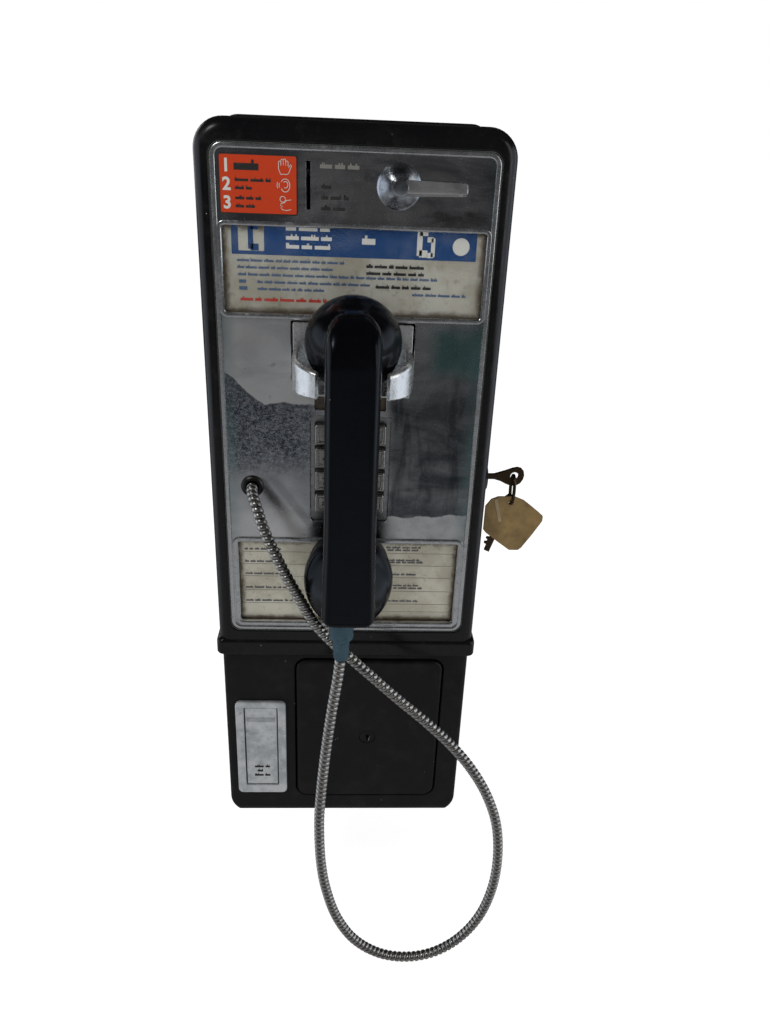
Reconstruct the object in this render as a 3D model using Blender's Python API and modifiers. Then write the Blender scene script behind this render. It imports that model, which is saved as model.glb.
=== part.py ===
"""Wall payphone with an armoured handset cord, coin return, coin vault and keypad.

Units are metres.  The origin is the centre of the back plate's rear face, which lies on the
wall.  +X is to the right of someone facing the phone, +Y goes into the wall, +Z is up.
"""
import math

import bmesh
import bpy
from mathutils import Matrix, Vector

OBJECT_NAME = "payphone"

# --- driving dimensions -------------------------------------------------------------------
GAP = 0.0003                    # clearance between pieces that touch
FACE_Y = -0.146                 # front plane of the faceplate
BACKPLATE_THICK = 0.004
BACKPLATE_HALF_W = 0.1005
BACKPLATE_BOTTOM = -0.262
BACKPLATE_TOP = 0.2715
BACKPLATE_CORNER = 0.015
BOLT_X = (-0.0635, 0.0635)      # four wall bolts
BOLT_Z = (-0.205, 0.215)
BOLT_HOLE_RADIUS = 0.0042
LINE_HOLE_Z = 0.095             # where the telephone line comes through the wall
LINE_HOLE_RADIUS = 0.019

UPPER_HALF_W = 0.0955           # cover, between its rim and its lip
UPPER_TOP = 0.2667
UPPER_WALL = 0.003
UPPER_CORNER = 0.018
RIM_PROUD = 0.0015              # how far the cover's rim stands in front of the faceplate
RIM_DEPTH = 0.0075
LIP_HALF_W = 0.09735            # flared lip along the bottom of the cover
LIP_TOP = -0.0855
LIP_BOTTOM = -0.0985

LOWER_HALF_W = 0.09475
LOWER_TOP = -0.0990
LOWER_BOTTOM = -0.2667
LOWER_FRONT = FACE_Y + 0.008
LOWER_WALL = 0.004
LOWER_CORNER = 0.017
LOWER_BOTTOM_ROLL = 0.009       # rounding of the front edge along the bottom
NECK_HALF_W = 0.0915            # part of the lower housing that stands up inside the cover
NECK_TOP = -0.0800

PLATE = (-0.0855, 0.0855, -0.0764, 0.2533)          # faceplate: x0, x1, z0, z1
PLATE_THICK = 0.002
PLATE_CORNER = 0.0065

UPPER_WINDOW = (-0.0802, 0.0802, 0.1563, 0.2078)    # its openings
LOWER_WINDOW = (-0.0784, 0.0784, -0.0691, -0.0037)
NUMBER_WINDOW = (-0.0246, 0.0228, 0.0945, 0.1040)
PLACARD = (-0.0803, -0.0344, 0.2144, 0.2474)
COIN_SLOT = (-0.0295, -0.0269, 0.2182, 0.2449)
KEYPAD_OPENING = (-0.0270, 0.0264, 0.0135, 0.0905)
HOOK_OPENING = (-0.0393, 0.0393, 0.1110, 0.1525)

CORD_HOLE = (-0.0667, 0.0390)
CORD_HOLE_RADIUS = 0.0062
CORD_RADIUS = 0.0039

RELEASE_CENTRE = (0.0253, 0.2326)
RELEASE_HOLE_RADIUS = 0.0040
RELEASE_ARM_LENGTH = 0.0390
RELEASE_ARM_WIDTH = 0.0077

KEY_SIZE = 0.0140
KEY_PITCH_X = 0.0168
KEY_PITCH_Z = 0.0166
KEY_CENTRE_X = -0.0003
KEY_TOP_ROW_Z = 0.0780
KEY_PROUD = 0.0035
KEY_NAMES = ("1", "2", "3", "4", "5", "6", "7", "8", "9", "star", "0", "hash")

EAR_Z = 0.1450                  # handset, hanging on its hook
MOUTH_Z = -0.0120
EAR_RADIUS = 0.0300             # widest part of each cup, a little behind its seam
MOUTH_RADIUS = 0.0310
SEAM_INSET = 0.0028             # how much narrower a cup is at its seam
SEAM_Y = FACE_Y - 0.0230        # where each cup meets its cap
CUP_HEIGHT = 0.0450
CUP_NECK = 0.0140
MOUTH_DROOP = 1.20              # how much the mouth cup's lower half is drawn down to the handle's end
HANDLE_HALF_W = 0.0158
HANDLE_BACK = FACE_Y - 0.0780
HANDLE_FRONT = FACE_Y - 0.0560
HANDLE_BOTTOM = -0.0270
HANDLE_TOP = 0.1655
BOOT_TOP = (-0.0042, -0.2060, -0.0276)
BOOT_RADIUS = 0.0082

HOOK_PIVOT = (FACE_Y + 0.0160, 0.1120)              # y, z of its axis along X
HOOK_PIN_RADIUS = 0.0026
HOOK_HALF_W = 0.0381
HOOK_WALL = 0.0040
HOOK_NECK = 0.0208              # half the gap between the two arms' tips
HOOK_DEPTH = 0.0456
HOOK_BOTTOM = 0.1145
HOOK_TOP = 0.1350

RETURN_FRAME = (-0.0871, -0.0472, -0.2411, -0.1484)
RETURN_FLAP = (-0.0796, -0.0545, -0.2322, -0.1547)
FLAP_AXIS = (FACE_Y + 0.0100, -0.1580)              # y, z of its hinge along X
FLAP_PIN_RADIUS = 0.0013

VAULT_DOOR = (-0.0388, 0.0756, -0.2456, -0.1092)
KEYHOLE = (0.0184, -0.1835)     # x, z of the vault's lock
VAULT_LOCK_RADIUS = 0.0062

LOCK_Y = FACE_Y + 0.020         # lock in the cover's right side
LOCK_Z = 0.0418
LOCK_RADIUS = 0.0100
LOCK_FACE_X = 0.0975
LOCK_PLUG_RADIUS = 0.0055
KEY_THICK = 0.0022
BOW_HOLE = (0.1178, 0.0426)     # x, z of the holes the link goes through
TAG_HOLE = (0.1176, 0.0216)
TAG_SIDE = 0.0336
TAG_CENTRE = Vector((0.1208, 0.0, 0.0046))
TAG_TILT = -57.87

# Route of the cord's centre line, from the faceplate to the boot under the handset.
CORD_ROUTE = (
    (-0.0667, -0.1482, 0.0392),
    (-0.0662, -0.1540, 0.0384),
    (-0.0646, -0.1600, 0.0358),
    (-0.0617, -0.1660, 0.0308),
    (-0.0577, -0.1722, 0.0210),
    (-0.0516, -0.1775, 0.0090),
    (-0.0427, -0.1815, -0.0092),
    (-0.0323, -0.1840, -0.0284),
    (-0.0230, -0.1855, -0.0450),
    (-0.0113, -0.1865, -0.0592),
    (0.0033, -0.1875, -0.0736),
    (0.0168, -0.1880, -0.0868),
    (0.0370, -0.1890, -0.1064),
    (0.0579, -0.1900, -0.1258),
    (0.0775, -0.1910, -0.1460),
    (0.0943, -0.1920, -0.1675),
    (0.1086, -0.1930, -0.1928),
    (0.1190, -0.1940, -0.2226),
    (0.1232, -0.1950, -0.2558),
    (0.1218, -0.1960, -0.2890),
    (0.1140, -0.1970, -0.3200),
    (0.0990, -0.1980, -0.3450),
    (0.0788, -0.1990, -0.3608),
    (0.0556, -0.2000, -0.3654),
    (0.0322, -0.2010, -0.3590),
    (0.0112, -0.2020, -0.3410),
    (-0.0036, -0.2030, -0.3135),
    (-0.0126, -0.2040, -0.2802),
    (-0.0168, -0.2045, -0.2493),
    (-0.0182, -0.2050, -0.2135),
    (-0.0173, -0.2055, -0.1854),
    (-0.0142, -0.2060, -0.1459),
    (-0.0098, -0.2060, -0.1049),
    (-0.0062, -0.2060, -0.0777),
    (-0.0045, -0.2060, -0.0609),
)
CORD_SPACING = 0.0175


# --- scene and material helpers -----------------------------------------------------------
def clear_scene():
    for item in list(bpy.data.objects):
        bpy.data.objects.remove(item, do_unlink=True)
    for group in list(bpy.data.collections):
        bpy.data.collections.remove(group)


clear_scene()
PARTS = bpy.data.collections.new(OBJECT_NAME)
CUTTERS = bpy.data.collections.new(OBJECT_NAME + "_cutters")
bpy.context.scene.collection.children.link(PARTS)
bpy.context.scene.collection.children.link(CUTTERS)


def material(name, colour, roughness, metallic=0.0):
    made = bpy.data.materials.new(name)
    made.use_nodes = True
    shader = made.node_tree.nodes["Principled BSDF"]
    shader.inputs["Base Color"].default_value = (*colour, 1.0)
    shader.inputs["Roughness"].default_value = roughness
    shader.inputs["Metallic"].default_value = metallic
    return made


BLACK_GLOSS = material("black_enamel", (0.010, 0.011, 0.013), 0.22)
BLACK_MATTE = material("black_wrinkle", (0.014, 0.014, 0.015), 0.50)
CHROME = material("chrome", (0.62, 0.63, 0.64), 0.22, 1.0)
ZINC = material("satin_zinc", (0.42, 0.42, 0.40), 0.42, 1.0)
STEEL = material("steel", (0.45, 0.46, 0.47), 0.38, 1.0)
BRASS = material("brass", (0.60, 0.42, 0.17), 0.35, 1.0)
BRONZE = material("key_bronze", (0.09, 0.065, 0.040), 0.48, 1.0)
COPPER = material("copper_winding", (0.50, 0.21, 0.09), 0.40, 1.0)
HANDSET_BLACK = material("handset_plastic", (0.008, 0.008, 0.010), 0.15)
BOOT_BLUE = material("boot_rubber", (0.065, 0.125, 0.155), 0.55)
CARD = material("card", (0.62, 0.58, 0.44), 0.80)
CLEAR = material("clear_window", (0.80, 0.82, 0.80), 0.10)
ORANGE = material("orange_placard", (0.62, 0.10, 0.015), 0.45)
TAG = material("tag_fibre", (0.30, 0.20, 0.085), 0.60)
BAKELITE = material("moulded_black", (0.025, 0.022, 0.020), 0.45)


# --- modelling helpers --------------------------------------------------------------------
def add_object(name, mesh, finish, group=PARTS):
    item = bpy.data.objects.new(name, mesh)
    if finish is not None:
        mesh.materials.clear()
        mesh.materials.append(finish)
    group.objects.link(item)
    if group is CUTTERS:
        item.hide_render = True
        item.display_type = "WIRE"
    return item


def from_bmesh(name, shape, finish, group=PARTS, origin=(0.0, 0.0, 0.0)):
    """Turn a bmesh in world space into an object whose origin is at the given point."""
    bmesh.ops.recalc_face_normals(shape, faces=shape.faces)
    shape.transform(Matrix.Translation(-Vector(origin)))
    mesh = bpy.data.meshes.new(name)
    shape.to_mesh(mesh)
    shape.free()
    mesh.shade_smooth()
    mesh.set_sharp_from_angle(angle=math.radians(32.0))
    item = add_object(name, mesh, finish, group)
    item.location = origin
    return item


def box_shape(low, high, bevel=0.0, segments=2):
    shape = bmesh.new()
    size = [high[i] - low[i] for i in range(3)]
    centre = [(high[i] + low[i]) / 2.0 for i in range(3)]
    bmesh.ops.create_cube(shape, size=1.0, matrix=Matrix.Diagonal((*size, 1.0)))
    shape.transform(Matrix.Translation(centre))
    if bevel:
        bmesh.ops.bevel(shape, geom=shape.edges[:], offset=bevel, segments=segments,
                        profile=0.5, affect="EDGES", clamp_overlap=True)
    return shape


def along(edge, axis):
    way = (edge.verts[1].co - edge.verts[0].co).normalized()
    return abs(way[axis]) > 0.999


def slab_shape(low, high, corner, front=0.0, back=0.0, segments=5, axis=1):
    """A block whose edges along one axis are rounded, with its front or back rim eased."""
    shape = box_shape(low, high)
    corners = [e for e in shape.edges if along(e, axis)]
    bmesh.ops.bevel(shape, geom=corners, offset=corner, segments=segments,
                    profile=0.5, affect="EDGES", clamp_overlap=True)
    for radius, level in ((front, low[axis]), (back, high[axis])):
        if not radius:
            continue
        rim = [e for e in shape.edges if all(abs(v.co[axis] - level) < 1e-6 for v in e.verts)]
        bmesh.ops.bevel(shape, geom=rim, offset=radius, segments=3,
                        profile=0.5, affect="EDGES", clamp_overlap=True)
    return shape


def panel_shape(extent, y0, y1, corner, front=0.0, segments=4):
    """A slab that spans (x0, x1, z0, z1) between two depths."""
    x0, x1, z0, z1 = extent
    return slab_shape((x0, y0, z0), (x1, y1, z1), corner, front=front, segments=segments)


def grown(extent, by):
    x0, x1, z0, z1 = extent
    return (x0 - by, x1 + by, z0 - by, z1 + by)


AXIS_TURNS = {
    "x": Matrix.Rotation(math.radians(90.0), 4, "Y"),
    "y": Matrix.Rotation(math.radians(90.0), 4, "X"),
    "z": Matrix.Identity(4),
}


def rod_shape(axis, centre, length, radius, sides=24, end_radius=None):
    """A rod centred on a point.  Along y its second radius is at the end nearer the front."""
    shape = bmesh.new()
    second = radius if end_radius is None else end_radius
    bmesh.ops.create_cone(shape, cap_ends=True, segments=sides, radius1=radius, radius2=second,
                          depth=length, matrix=Matrix.Translation(centre) @ AXIS_TURNS[axis])
    return shape


def turned(name, finish, profile, axis, centre, steps=32, group=PARTS, closed=False):
    """Turn a profile of (radius, height) points, listed from the top down, about an axis."""
    shape = bmesh.new()
    points = [shape.verts.new((r, 0.0, h)) for r, h in profile]
    for first, second in zip(points, points[1:]):
        shape.edges.new((first, second))
    if closed:
        shape.edges.new((points[-1], points[0]))
    mesh = bpy.data.meshes.new(name)
    shape.to_mesh(mesh)
    shape.free()
    item = add_object(name, mesh, finish, group)
    item.matrix_world = Matrix.Translation(centre) @ AXIS_TURNS[axis]
    screw = item.modifiers.new("Turn", "SCREW")
    screw.axis = "Z"
    screw.steps = steps
    screw.render_steps = steps
    screw.use_merge_vertices = True
    screw.merge_threshold = 0.00001
    screw.use_smooth_shade = True
    return item


def flat_shape(outline, y0, y1):
    """Extrude a closed outline of (x, z) points between two depths."""
    shape = bmesh.new()
    ring = [shape.verts.new((x, y0, z)) for x, z in outline]
    face = shape.faces.new(ring)
    moved = bmesh.ops.extrude_face_region(shape, geom=[face])["geom"]
    verts = [v for v in moved if isinstance(v, bmesh.types.BMVert)]
    bmesh.ops.translate(shape, verts=verts, vec=(0.0, y1 - y0, 0.0))
    return shape


def cutter(name, shape):
    return from_bmesh(name, shape, None, CUTTERS)


def modify(item, other, operation):
    step = item.modifiers.new(other.name, "BOOLEAN")
    step.operation = operation
    step.object = other
    step.solver = "EXACT"
    return item


def cut(item, *shapes):
    for index, shape in enumerate(shapes):
        modify(item, cutter(f"{item.name}_cut_{len(item.modifiers)}_{index}", shape), "DIFFERENCE")
    return item


def weld(item, *shapes):
    for index, shape in enumerate(shapes):
        modify(item, cutter(f"{item.name}_add_{len(item.modifiers)}_{index}", shape), "UNION")
    return item


def smooth_path(points, samples=24):
    """A dense Catmull-Rom curve through the points."""
    nodes = [Vector(p) for p in points]
    nodes = [2 * nodes[0] - nodes[1], *nodes, 2 * nodes[-1] - nodes[-2]]
    dense = []
    for a, b, c, d in zip(nodes, nodes[1:], nodes[2:], nodes[3:]):
        for i in range(samples):
            t = i / samples
            dense.append(0.5 * (2 * b + (c - a) * t + (2 * a - 5 * b + 4 * c - d) * t * t
                                + (3 * b - a - 3 * c + d) * t ** 3))
    dense.append(nodes[-2])
    return dense


def spaced(dense, step):
    """Points at an even spacing along a dense path, ends included."""
    lengths = [0.0]
    for first, second in zip(dense, dense[1:]):
        lengths.append(lengths[-1] + (second - first).length)
    count = max(2, round(lengths[-1] / step))
    result = []
    index = 0
    for k in range(count + 1):
        want = lengths[-1] * k / count
        while index < len(dense) - 2 and lengths[index + 1] < want:
            index += 1
        span = lengths[index + 1] - lengths[index]
        part = 0.0 if span == 0.0 else (want - lengths[index]) / span
        result.append(dense[index].lerp(dense[index + 1], min(1.0, part)))
    return result


def tube(name, finish, points, radius, resolution=2, closed=False):
    curve = bpy.data.curves.new(name, "CURVE")
    curve.dimensions = "3D"
    curve.bevel_depth = radius
    curve.bevel_resolution = resolution
    curve.use_fill_caps = not closed
    spline = curve.splines.new("POLY")
    spline.points.add(len(points) - 1)
    for target, source in zip(spline.points, points):
        target.co = (*source, 1.0)
    spline.use_cyclic_u = closed
    curve.materials.append(finish)
    item = bpy.data.objects.new(name, curve)
    PARTS.objects.link(item)
    return item


# --- fixed base ---------------------------------------------------------------------------
def make_backplate():
    extent = (-BACKPLATE_HALF_W, BACKPLATE_HALF_W, BACKPLATE_BOTTOM, BACKPLATE_TOP)
    plate = from_bmesh("backplate", panel_shape(extent, -BACKPLATE_THICK, 0.0, BACKPLATE_CORNER), BLACK_MATTE)
    for x in BOLT_X:
        for z in BOLT_Z:
            cut(plate, rod_shape("y", (x, 0.0, z), 0.02, BOLT_HOLE_RADIUS, 16))
    cut(plate, rod_shape("y", (0.0, 0.0, LINE_HOLE_Z), 0.02, LINE_HOLE_RADIUS, 24))


def bottom_roll_shape(half_width, steps=8):
    """What the rounding takes off the lower housing's bottom front edge."""
    roll = LOWER_BOTTOM_ROLL
    outline = [(LOWER_FRONT - 0.002, LOWER_BOTTOM + roll), (LOWER_FRONT - 0.002, LOWER_BOTTOM - 0.002),
               (LOWER_FRONT + roll, LOWER_BOTTOM - 0.002)]
    for step in range(steps + 1):
        angle = 0.5 * math.pi * step / steps
        outline.append((LOWER_FRONT + roll * (1.0 - math.sin(angle)),
                        LOWER_BOTTOM + roll * (1.0 - math.cos(angle))))
    shape = bmesh.new()
    corners = [shape.verts.new((-half_width, y, z)) for y, z in outline]
    face = shape.faces.new(corners)
    pulled = bmesh.ops.extrude_face_region(shape, geom=[face])
    moved = [item for item in pulled["geom"] if isinstance(item, bmesh.types.BMVert)]
    bmesh.ops.translate(shape, verts=moved, vec=(2.0 * half_width, 0.0, 0.0))
    bmesh.ops.recalc_face_normals(shape, faces=shape.faces[:])
    return shape


def make_lower_housing():
    rear = -BACKPLATE_THICK - GAP
    edge = 0.003
    shell = from_bmesh("lower_housing", slab_shape(
        (-LOWER_HALF_W, LOWER_FRONT, LOWER_BOTTOM), (LOWER_HALF_W, rear, LOWER_TOP),
        LOWER_CORNER, front=edge), BLACK_MATTE)
    cut(shell, bottom_roll_shape(LOWER_HALF_W + 0.002))
    # The upper corners are square, under the cover's lip.
    shoulder = LOWER_TOP - 0.030
    weld(shell, box_shape((-LOWER_HALF_W, LOWER_FRONT + edge, shoulder), (LOWER_HALF_W, rear, LOWER_TOP)))
    weld(shell, box_shape((-NECK_HALF_W, LOWER_FRONT + 0.0005, shoulder),
                          (NECK_HALF_W, rear - 0.001, NECK_TOP)))
    inner = NECK_HALF_W - 0.0015
    cut(shell, box_shape((-inner, LOWER_FRONT + LOWER_WALL, LOWER_BOTTOM + LOWER_WALL),
                         (inner, 0.01, NECK_TOP + 0.02)))
    cut(shell, panel_shape(grown(VAULT_DOOR, 0.0008), LOWER_FRONT - 0.01, LOWER_FRONT + 0.02, 0.0095))
    x0, x1, z0, z1 = grown(RETURN_FRAME, -0.002)
    cut(shell, box_shape((x0, LOWER_FRONT - 0.01, z0), (x1, LOWER_FRONT + 0.02, z1)))


def make_coin_return():
    x0, x1, z0, z1 = RETURN_FRAME
    front = LOWER_FRONT - 0.0030
    frame = from_bmesh("coin_return_frame",
                       panel_shape(RETURN_FRAME, front, LOWER_FRONT - GAP, 0.004, front=0.0008), ZINC)
    # Two ears behind the frame carry the flap's pin.
    ears = ((x0 + 0.0025, RETURN_FLAP[0] - 0.0005), (RETURN_FLAP[1] + 0.0005, x1 - 0.0025))
    for low, high in ears:
        weld(frame, box_shape((low, front + 0.001, -0.1635), (high, FLAP_AXIS[0] + 0.004, -0.1525)))
    flap_x0, flap_x1, flap_z0, flap_z1 = RETURN_FLAP
    play = 0.0010
    cut(frame, box_shape((flap_x0 - play, front - 0.01, flap_z0 - play),
                         (flap_x1 + play, front + 0.03, flap_z1 + play)))
    middle = ((x0 + x1) / 2.0, *FLAP_AXIS)
    cut(frame, rod_shape("x", middle, 0.06, FLAP_PIN_RADIUS + GAP, 16))
    pin = rod_shape("x", middle, x1 - x0 - 0.005, FLAP_PIN_RADIUS, 16)
    from_bmesh("flap_hinge_pin", pin, STEEL, origin=middle)

    face = box_shape((flap_x0, front + 0.0012, flap_z0), (flap_x1, front + 0.0037, flap_z1), 0.0005)
    flap = from_bmesh("coin_return_flap", face, ZINC, origin=middle)
    weld(flap, box_shape((flap_x0 + 0.002, front + 0.0030, FLAP_AXIS[1] - 0.0030),
                         (flap_x1 - 0.002, FLAP_AXIS[0] + 0.0030, FLAP_AXIS[1] + 0.0025)))
    cut(flap, rod_shape("x", middle, 0.06, FLAP_PIN_RADIUS + GAP, 16))
    # Ribs for the fingertip.
    for index in range(4):
        z = -0.1652 + index * 0.0011
        cut(flap, box_shape((flap_x0 + 0.0015, front, z), (flap_x1 - 0.0015, front + 0.0017, z + 0.0005)))


def tray(name, finish, low, high, wall, open_sides):
    """A thin-walled box that is open on the named sides, for instance 'front' or 'top'."""
    item = from_bmesh(name, box_shape(low, high), finish)
    inner_low = [value + wall for value in low]
    inner_high = [value - wall for value in high]
    for side in open_sides:
        index, upper = {"left": (0, False), "right": (0, True), "front": (1, False),
                        "back": (1, True), "bottom": (2, False), "top": (2, True)}[side]
        if upper:
            inner_high[index] = high[index] + 0.01
        else:
            inner_low[index] = low[index] - 0.01
    return cut(item, box_shape(inner_low, inner_high))


def make_return_bucket():
    low = (RETURN_FRAME[0] + 0.0015, FLAP_AXIS[0] + 0.0045, RETURN_FRAME[2] - 0.004)
    high = (RETURN_FRAME[1] + 0.0005, FACE_Y + 0.0800, RETURN_FRAME[3] + 0.004)
    return tray("coin_return_bucket", STEEL, low, high, 0.0015, ("front", "top"))


def make_vault():
    x0, x1, z0, z1 = VAULT_DOOR
    low = (x0 - 0.0060, LOWER_FRONT + LOWER_WALL + GAP, z0 - 0.006)
    high = (x1 + 0.0060, -0.012, z1 + 0.004)
    liner = tray("vault_liner", STEEL, low, high, 0.0022, ("front",))
    # The chute drops its coins through this slot.
    cut(liner, box_shape((-0.010, -0.100, z1 - 0.010), (0.025, -0.060, z1 + 0.020)))

    # The box slides out through the door's round-cornered opening.
    inset = 0.0035
    box_low = (x0 + inset, LOWER_FRONT + 0.0135, z0 + inset)
    box_high = (x1 - inset, -0.018, z1 - 0.010)
    tray("coin_box", STEEL, box_low, box_high, 0.0018, ("top",))

    door = from_bmesh("vault_door", panel_shape(VAULT_DOOR, LOWER_FRONT - 0.0015, LOWER_FRONT + 0.0095,
                                                0.009, front=0.0018), BLACK_MATTE)
    x, z = KEYHOLE
    cut(door, rod_shape("y", (x, LOWER_FRONT, z), 0.04, VAULT_LOCK_RADIUS + GAP, 24))
    barrel = rod_shape("y", (x, LOWER_FRONT + 0.0045, z), 0.0116, VAULT_LOCK_RADIUS, 24)
    plug = from_bmesh("vault_lock", barrel, BLACK_MATTE, origin=(x, LOWER_FRONT, z))
    cut(plug, rod_shape("y", (x, LOWER_FRONT, z + 0.0010), 0.012, 0.0015, 12))
    cut(plug, box_shape((x - 0.0006, LOWER_FRONT - 0.01, z - 0.0032),
                        (x + 0.0006, LOWER_FRONT + 0.006, z + 0.001)))


def make_coin_works():
    """The chute, hopper and relay that sort coins into the vault or back to the caller."""
    acceptor = tray("coin_acceptor", ZINC, (-0.060, FACE_Y + 0.034, 0.125), (-0.012, FACE_Y + 0.074, 0.240),
                    0.002, ("bottom",))
    cut(acceptor, box_shape((-0.034, FACE_Y + 0.030, 0.214), (-0.022, FACE_Y + 0.040, 0.236)))
    centre = (-0.036, FACE_Y + 0.055, 0.0200)
    hopper = from_bmesh("coin_hopper", rod_shape("z", centre, 0.050, 0.013, 4, 0.030), ZINC)
    cut(hopper, rod_shape("z", centre, 0.052, 0.0108, 4, 0.0280))
    tray("coin_relay_frame", STEEL, (-0.060, FACE_Y + 0.035, -0.060), (-0.012, FACE_Y + 0.078, -0.008),
         0.0022, ("front", "top"))
    coil = rod_shape("z", (-0.0470, FACE_Y + 0.0600, -0.0330), 0.040, 0.0095, 20)
    from_bmesh("coin_relay_coil", coil, COPPER)


def make_ringer():
    middle_y = -0.0300
    yoke = box_shape((0.030, middle_y - 0.012, 0.128), (0.082, middle_y + 0.012, 0.150), 0.001)
    from_bmesh("ringer_frame", yoke, STEEL)
    outside = [(0.0, 0.0120), (0.008, 0.0118), (0.0150, 0.0095), (0.0195, 0.0050), (0.0205, 0.0)]
    inside = [(0.0190, 0.0), (0.0180, 0.0045), (0.0140, 0.0082), (0.0075, 0.0102), (0.0, 0.0104)]
    turned("ringer_gong", BRASS, outside + inside, "y", (0.0560, middle_y, 0.176), 24)


def make_electronics():
    """The speech network, with screw terminals along its face."""
    low = (0.0140, -0.0500, -0.0500)
    high = (0.0780, -0.0045, 0.0400)
    block = from_bmesh("network_block", box_shape(low, high, 0.0015), BAKELITE)
    for index in range(5):
        cut(block, rod_shape("y", (0.0220 + index * 0.0120, low[1], 0.0300), 0.0080, 0.0030, 12))


# --- cover --------------------------------------------------------------------------------
def make_upper_housing():
    rear = -BACKPLATE_THICK - GAP
    front = FACE_Y - RIM_PROUD
    body = slab_shape((-UPPER_HALF_W, front, LIP_BOTTOM - 0.050), (UPPER_HALF_W, rear, UPPER_TOP),
                      UPPER_CORNER, front=0.007, segments=6)
    shell = from_bmesh("upper_housing", body, BLACK_GLOSS)
    cut(shell, box_shape((-0.2, -0.3, LIP_BOTTOM - 0.1), (0.2, 0.1, LIP_BOTTOM + 0.002)))
    weld(shell, slab_shape((-LIP_HALF_W, front - 0.0012, LIP_BOTTOM), (LIP_HALF_W, rear, LIP_TOP),
                           0.003, front=0.004, segments=3))
    inner = UPPER_HALF_W - UPPER_WALL
    cut(shell, slab_shape((-inner, front + RIM_DEPTH, LIP_BOTTOM - 0.060),
                          (inner, 0.02, UPPER_TOP - UPPER_WALL), UPPER_CORNER - UPPER_WALL))
    cut(shell, panel_shape(grown(PLATE, GAP), front - 0.02, front + 0.03, PLATE_CORNER))
    cut(shell, rod_shape("x", (UPPER_HALF_W, LOCK_Y, LOCK_Z), 0.02, LOCK_RADIUS + GAP, 24))


def make_faceplate():
    back = FACE_Y + PLATE_THICK
    plate = from_bmesh("faceplate", panel_shape(PLATE, FACE_Y, back, PLATE_CORNER), CHROME)
    openings = ((UPPER_WINDOW, 0.002), (LOWER_WINDOW, 0.005), (NUMBER_WINDOW, 0.001),
                (KEYPAD_OPENING, 0.002), (HOOK_OPENING, 0.001))
    for opening, corner in openings:
        cut(plate, panel_shape(opening, FACE_Y - 0.01, FACE_Y + 0.01, corner, segments=3))
    x0, x1, z0, z1 = COIN_SLOT
    cut(plate, box_shape((x0, FACE_Y - 0.01, z0), (x1, FACE_Y + 0.01, z1)))
    for (x, z), radius in ((CORD_HOLE, CORD_HOLE_RADIUS), (RELEASE_CENTRE, RELEASE_HOLE_RADIUS)):
        cut(plate, rod_shape("y", (x, FACE_Y, z), 0.02, radius, 20))


def make_cards():
    back = FACE_Y + PLATE_THICK
    for name, extent in (("upper", UPPER_WINDOW), ("lower", LOWER_WINDOW)):
        spread = grown(extent, 0.0025)
        window = panel_shape(spread, back + GAP, back + 0.0015, 0.003, segments=2)
        from_bmesh(f"{name}_card_window", window, CLEAR)
        card = panel_shape(spread, back + 0.0018, back + 0.0024, 0.003, segments=2)
        from_bmesh(f"{name}_card", card, CARD)
    number = panel_shape(grown(NUMBER_WINDOW, 0.0015), back + GAP, back + 0.0012, 0.001, segments=2)
    from_bmesh("number_card", number, CARD)
    placard = panel_shape(PLACARD, FACE_Y - 0.0011, FACE_Y - GAP, 0.0012, segments=3)
    from_bmesh("dialing_placard", placard, ORANGE)


def make_keypad():
    back = FACE_Y + PLATE_THICK
    x0, x1, z0, z1 = KEYPAD_OPENING
    plate = panel_shape(grown(KEYPAD_OPENING, 0.0020), back + GAP, back + 0.0020, 0.003, segments=2)
    frame = from_bmesh("keypad_frame", plate, CHROME)
    unit = panel_shape((x0, x1, z0 + 0.004, z1), FACE_Y + 0.0120, FACE_Y + 0.0300, 0.002, segments=2)
    from_bmesh("keypad_switch_unit", unit, BAKELITE)
    half = KEY_SIZE / 2.0
    hole = half + GAP
    flange = half + 0.0009
    for index, name in enumerate(KEY_NAMES):
        row, column = divmod(index, 3)
        x = KEY_CENTRE_X + (column - 1) * KEY_PITCH_X
        z = KEY_TOP_ROW_Z - row * KEY_PITCH_Z
        cut(frame, box_shape((x - hole, FACE_Y - 0.01, z - hole), (x + hole, FACE_Y + 0.02, z + hole)))
        cap = slab_shape((x - half, FACE_Y - KEY_PROUD, z - half), (x + half, FACE_Y + 0.0050, z + half),
                         0.0015, front=0.0010, segments=2)
        key = from_bmesh(f"key_{name}", cap, CHROME, origin=(x, FACE_Y, z))
        weld(key, box_shape((x - flange, FACE_Y + 0.0046, z - flange),
                            (x + flange, FACE_Y + 0.0062, z + flange)))


def plan_shape(outline, z0, z1):
    """Extrude a closed outline of (x, y) points between two heights."""
    shape = bmesh.new()
    face = shape.faces.new([shape.verts.new((x, y, z0)) for x, y in outline])
    moved = bmesh.ops.extrude_face_region(shape, geom=[face])["geom"]
    verts = [v for v in moved if isinstance(v, bmesh.types.BMVert)]
    bmesh.ops.translate(shape, verts=verts, vec=(0.0, 0.0, z1 - z0))
    return shape


def hook_arm(side):
    """One wall of the cradle, seen from above: back to front, then in across the ear cup."""
    thick = HOOK_WALL
    outer = [(HOOK_HALF_W, 0.0010), (HOOK_HALF_W - 0.0008, -0.0260), (HOOK_HALF_W - 0.0020, -0.0315),
             (HOOK_HALF_W - 0.0050, -0.0370), (0.0265, -0.0430), (HOOK_NECK, -HOOK_DEPTH)]
    inner = [(HOOK_NECK, -HOOK_DEPTH + thick), (0.0250, -0.0395), (HOOK_HALF_W - 0.0080, -0.0340),
             (HOOK_HALF_W - thick - 0.0016, -0.0290), (HOOK_HALF_W - thick - 0.0008, -0.0250),
             (HOOK_HALF_W - thick, 0.0010)]
    return plan_shape([(side * x, FACE_Y + y) for x, y in outer + inner], HOOK_BOTTOM, HOOK_TOP)


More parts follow.
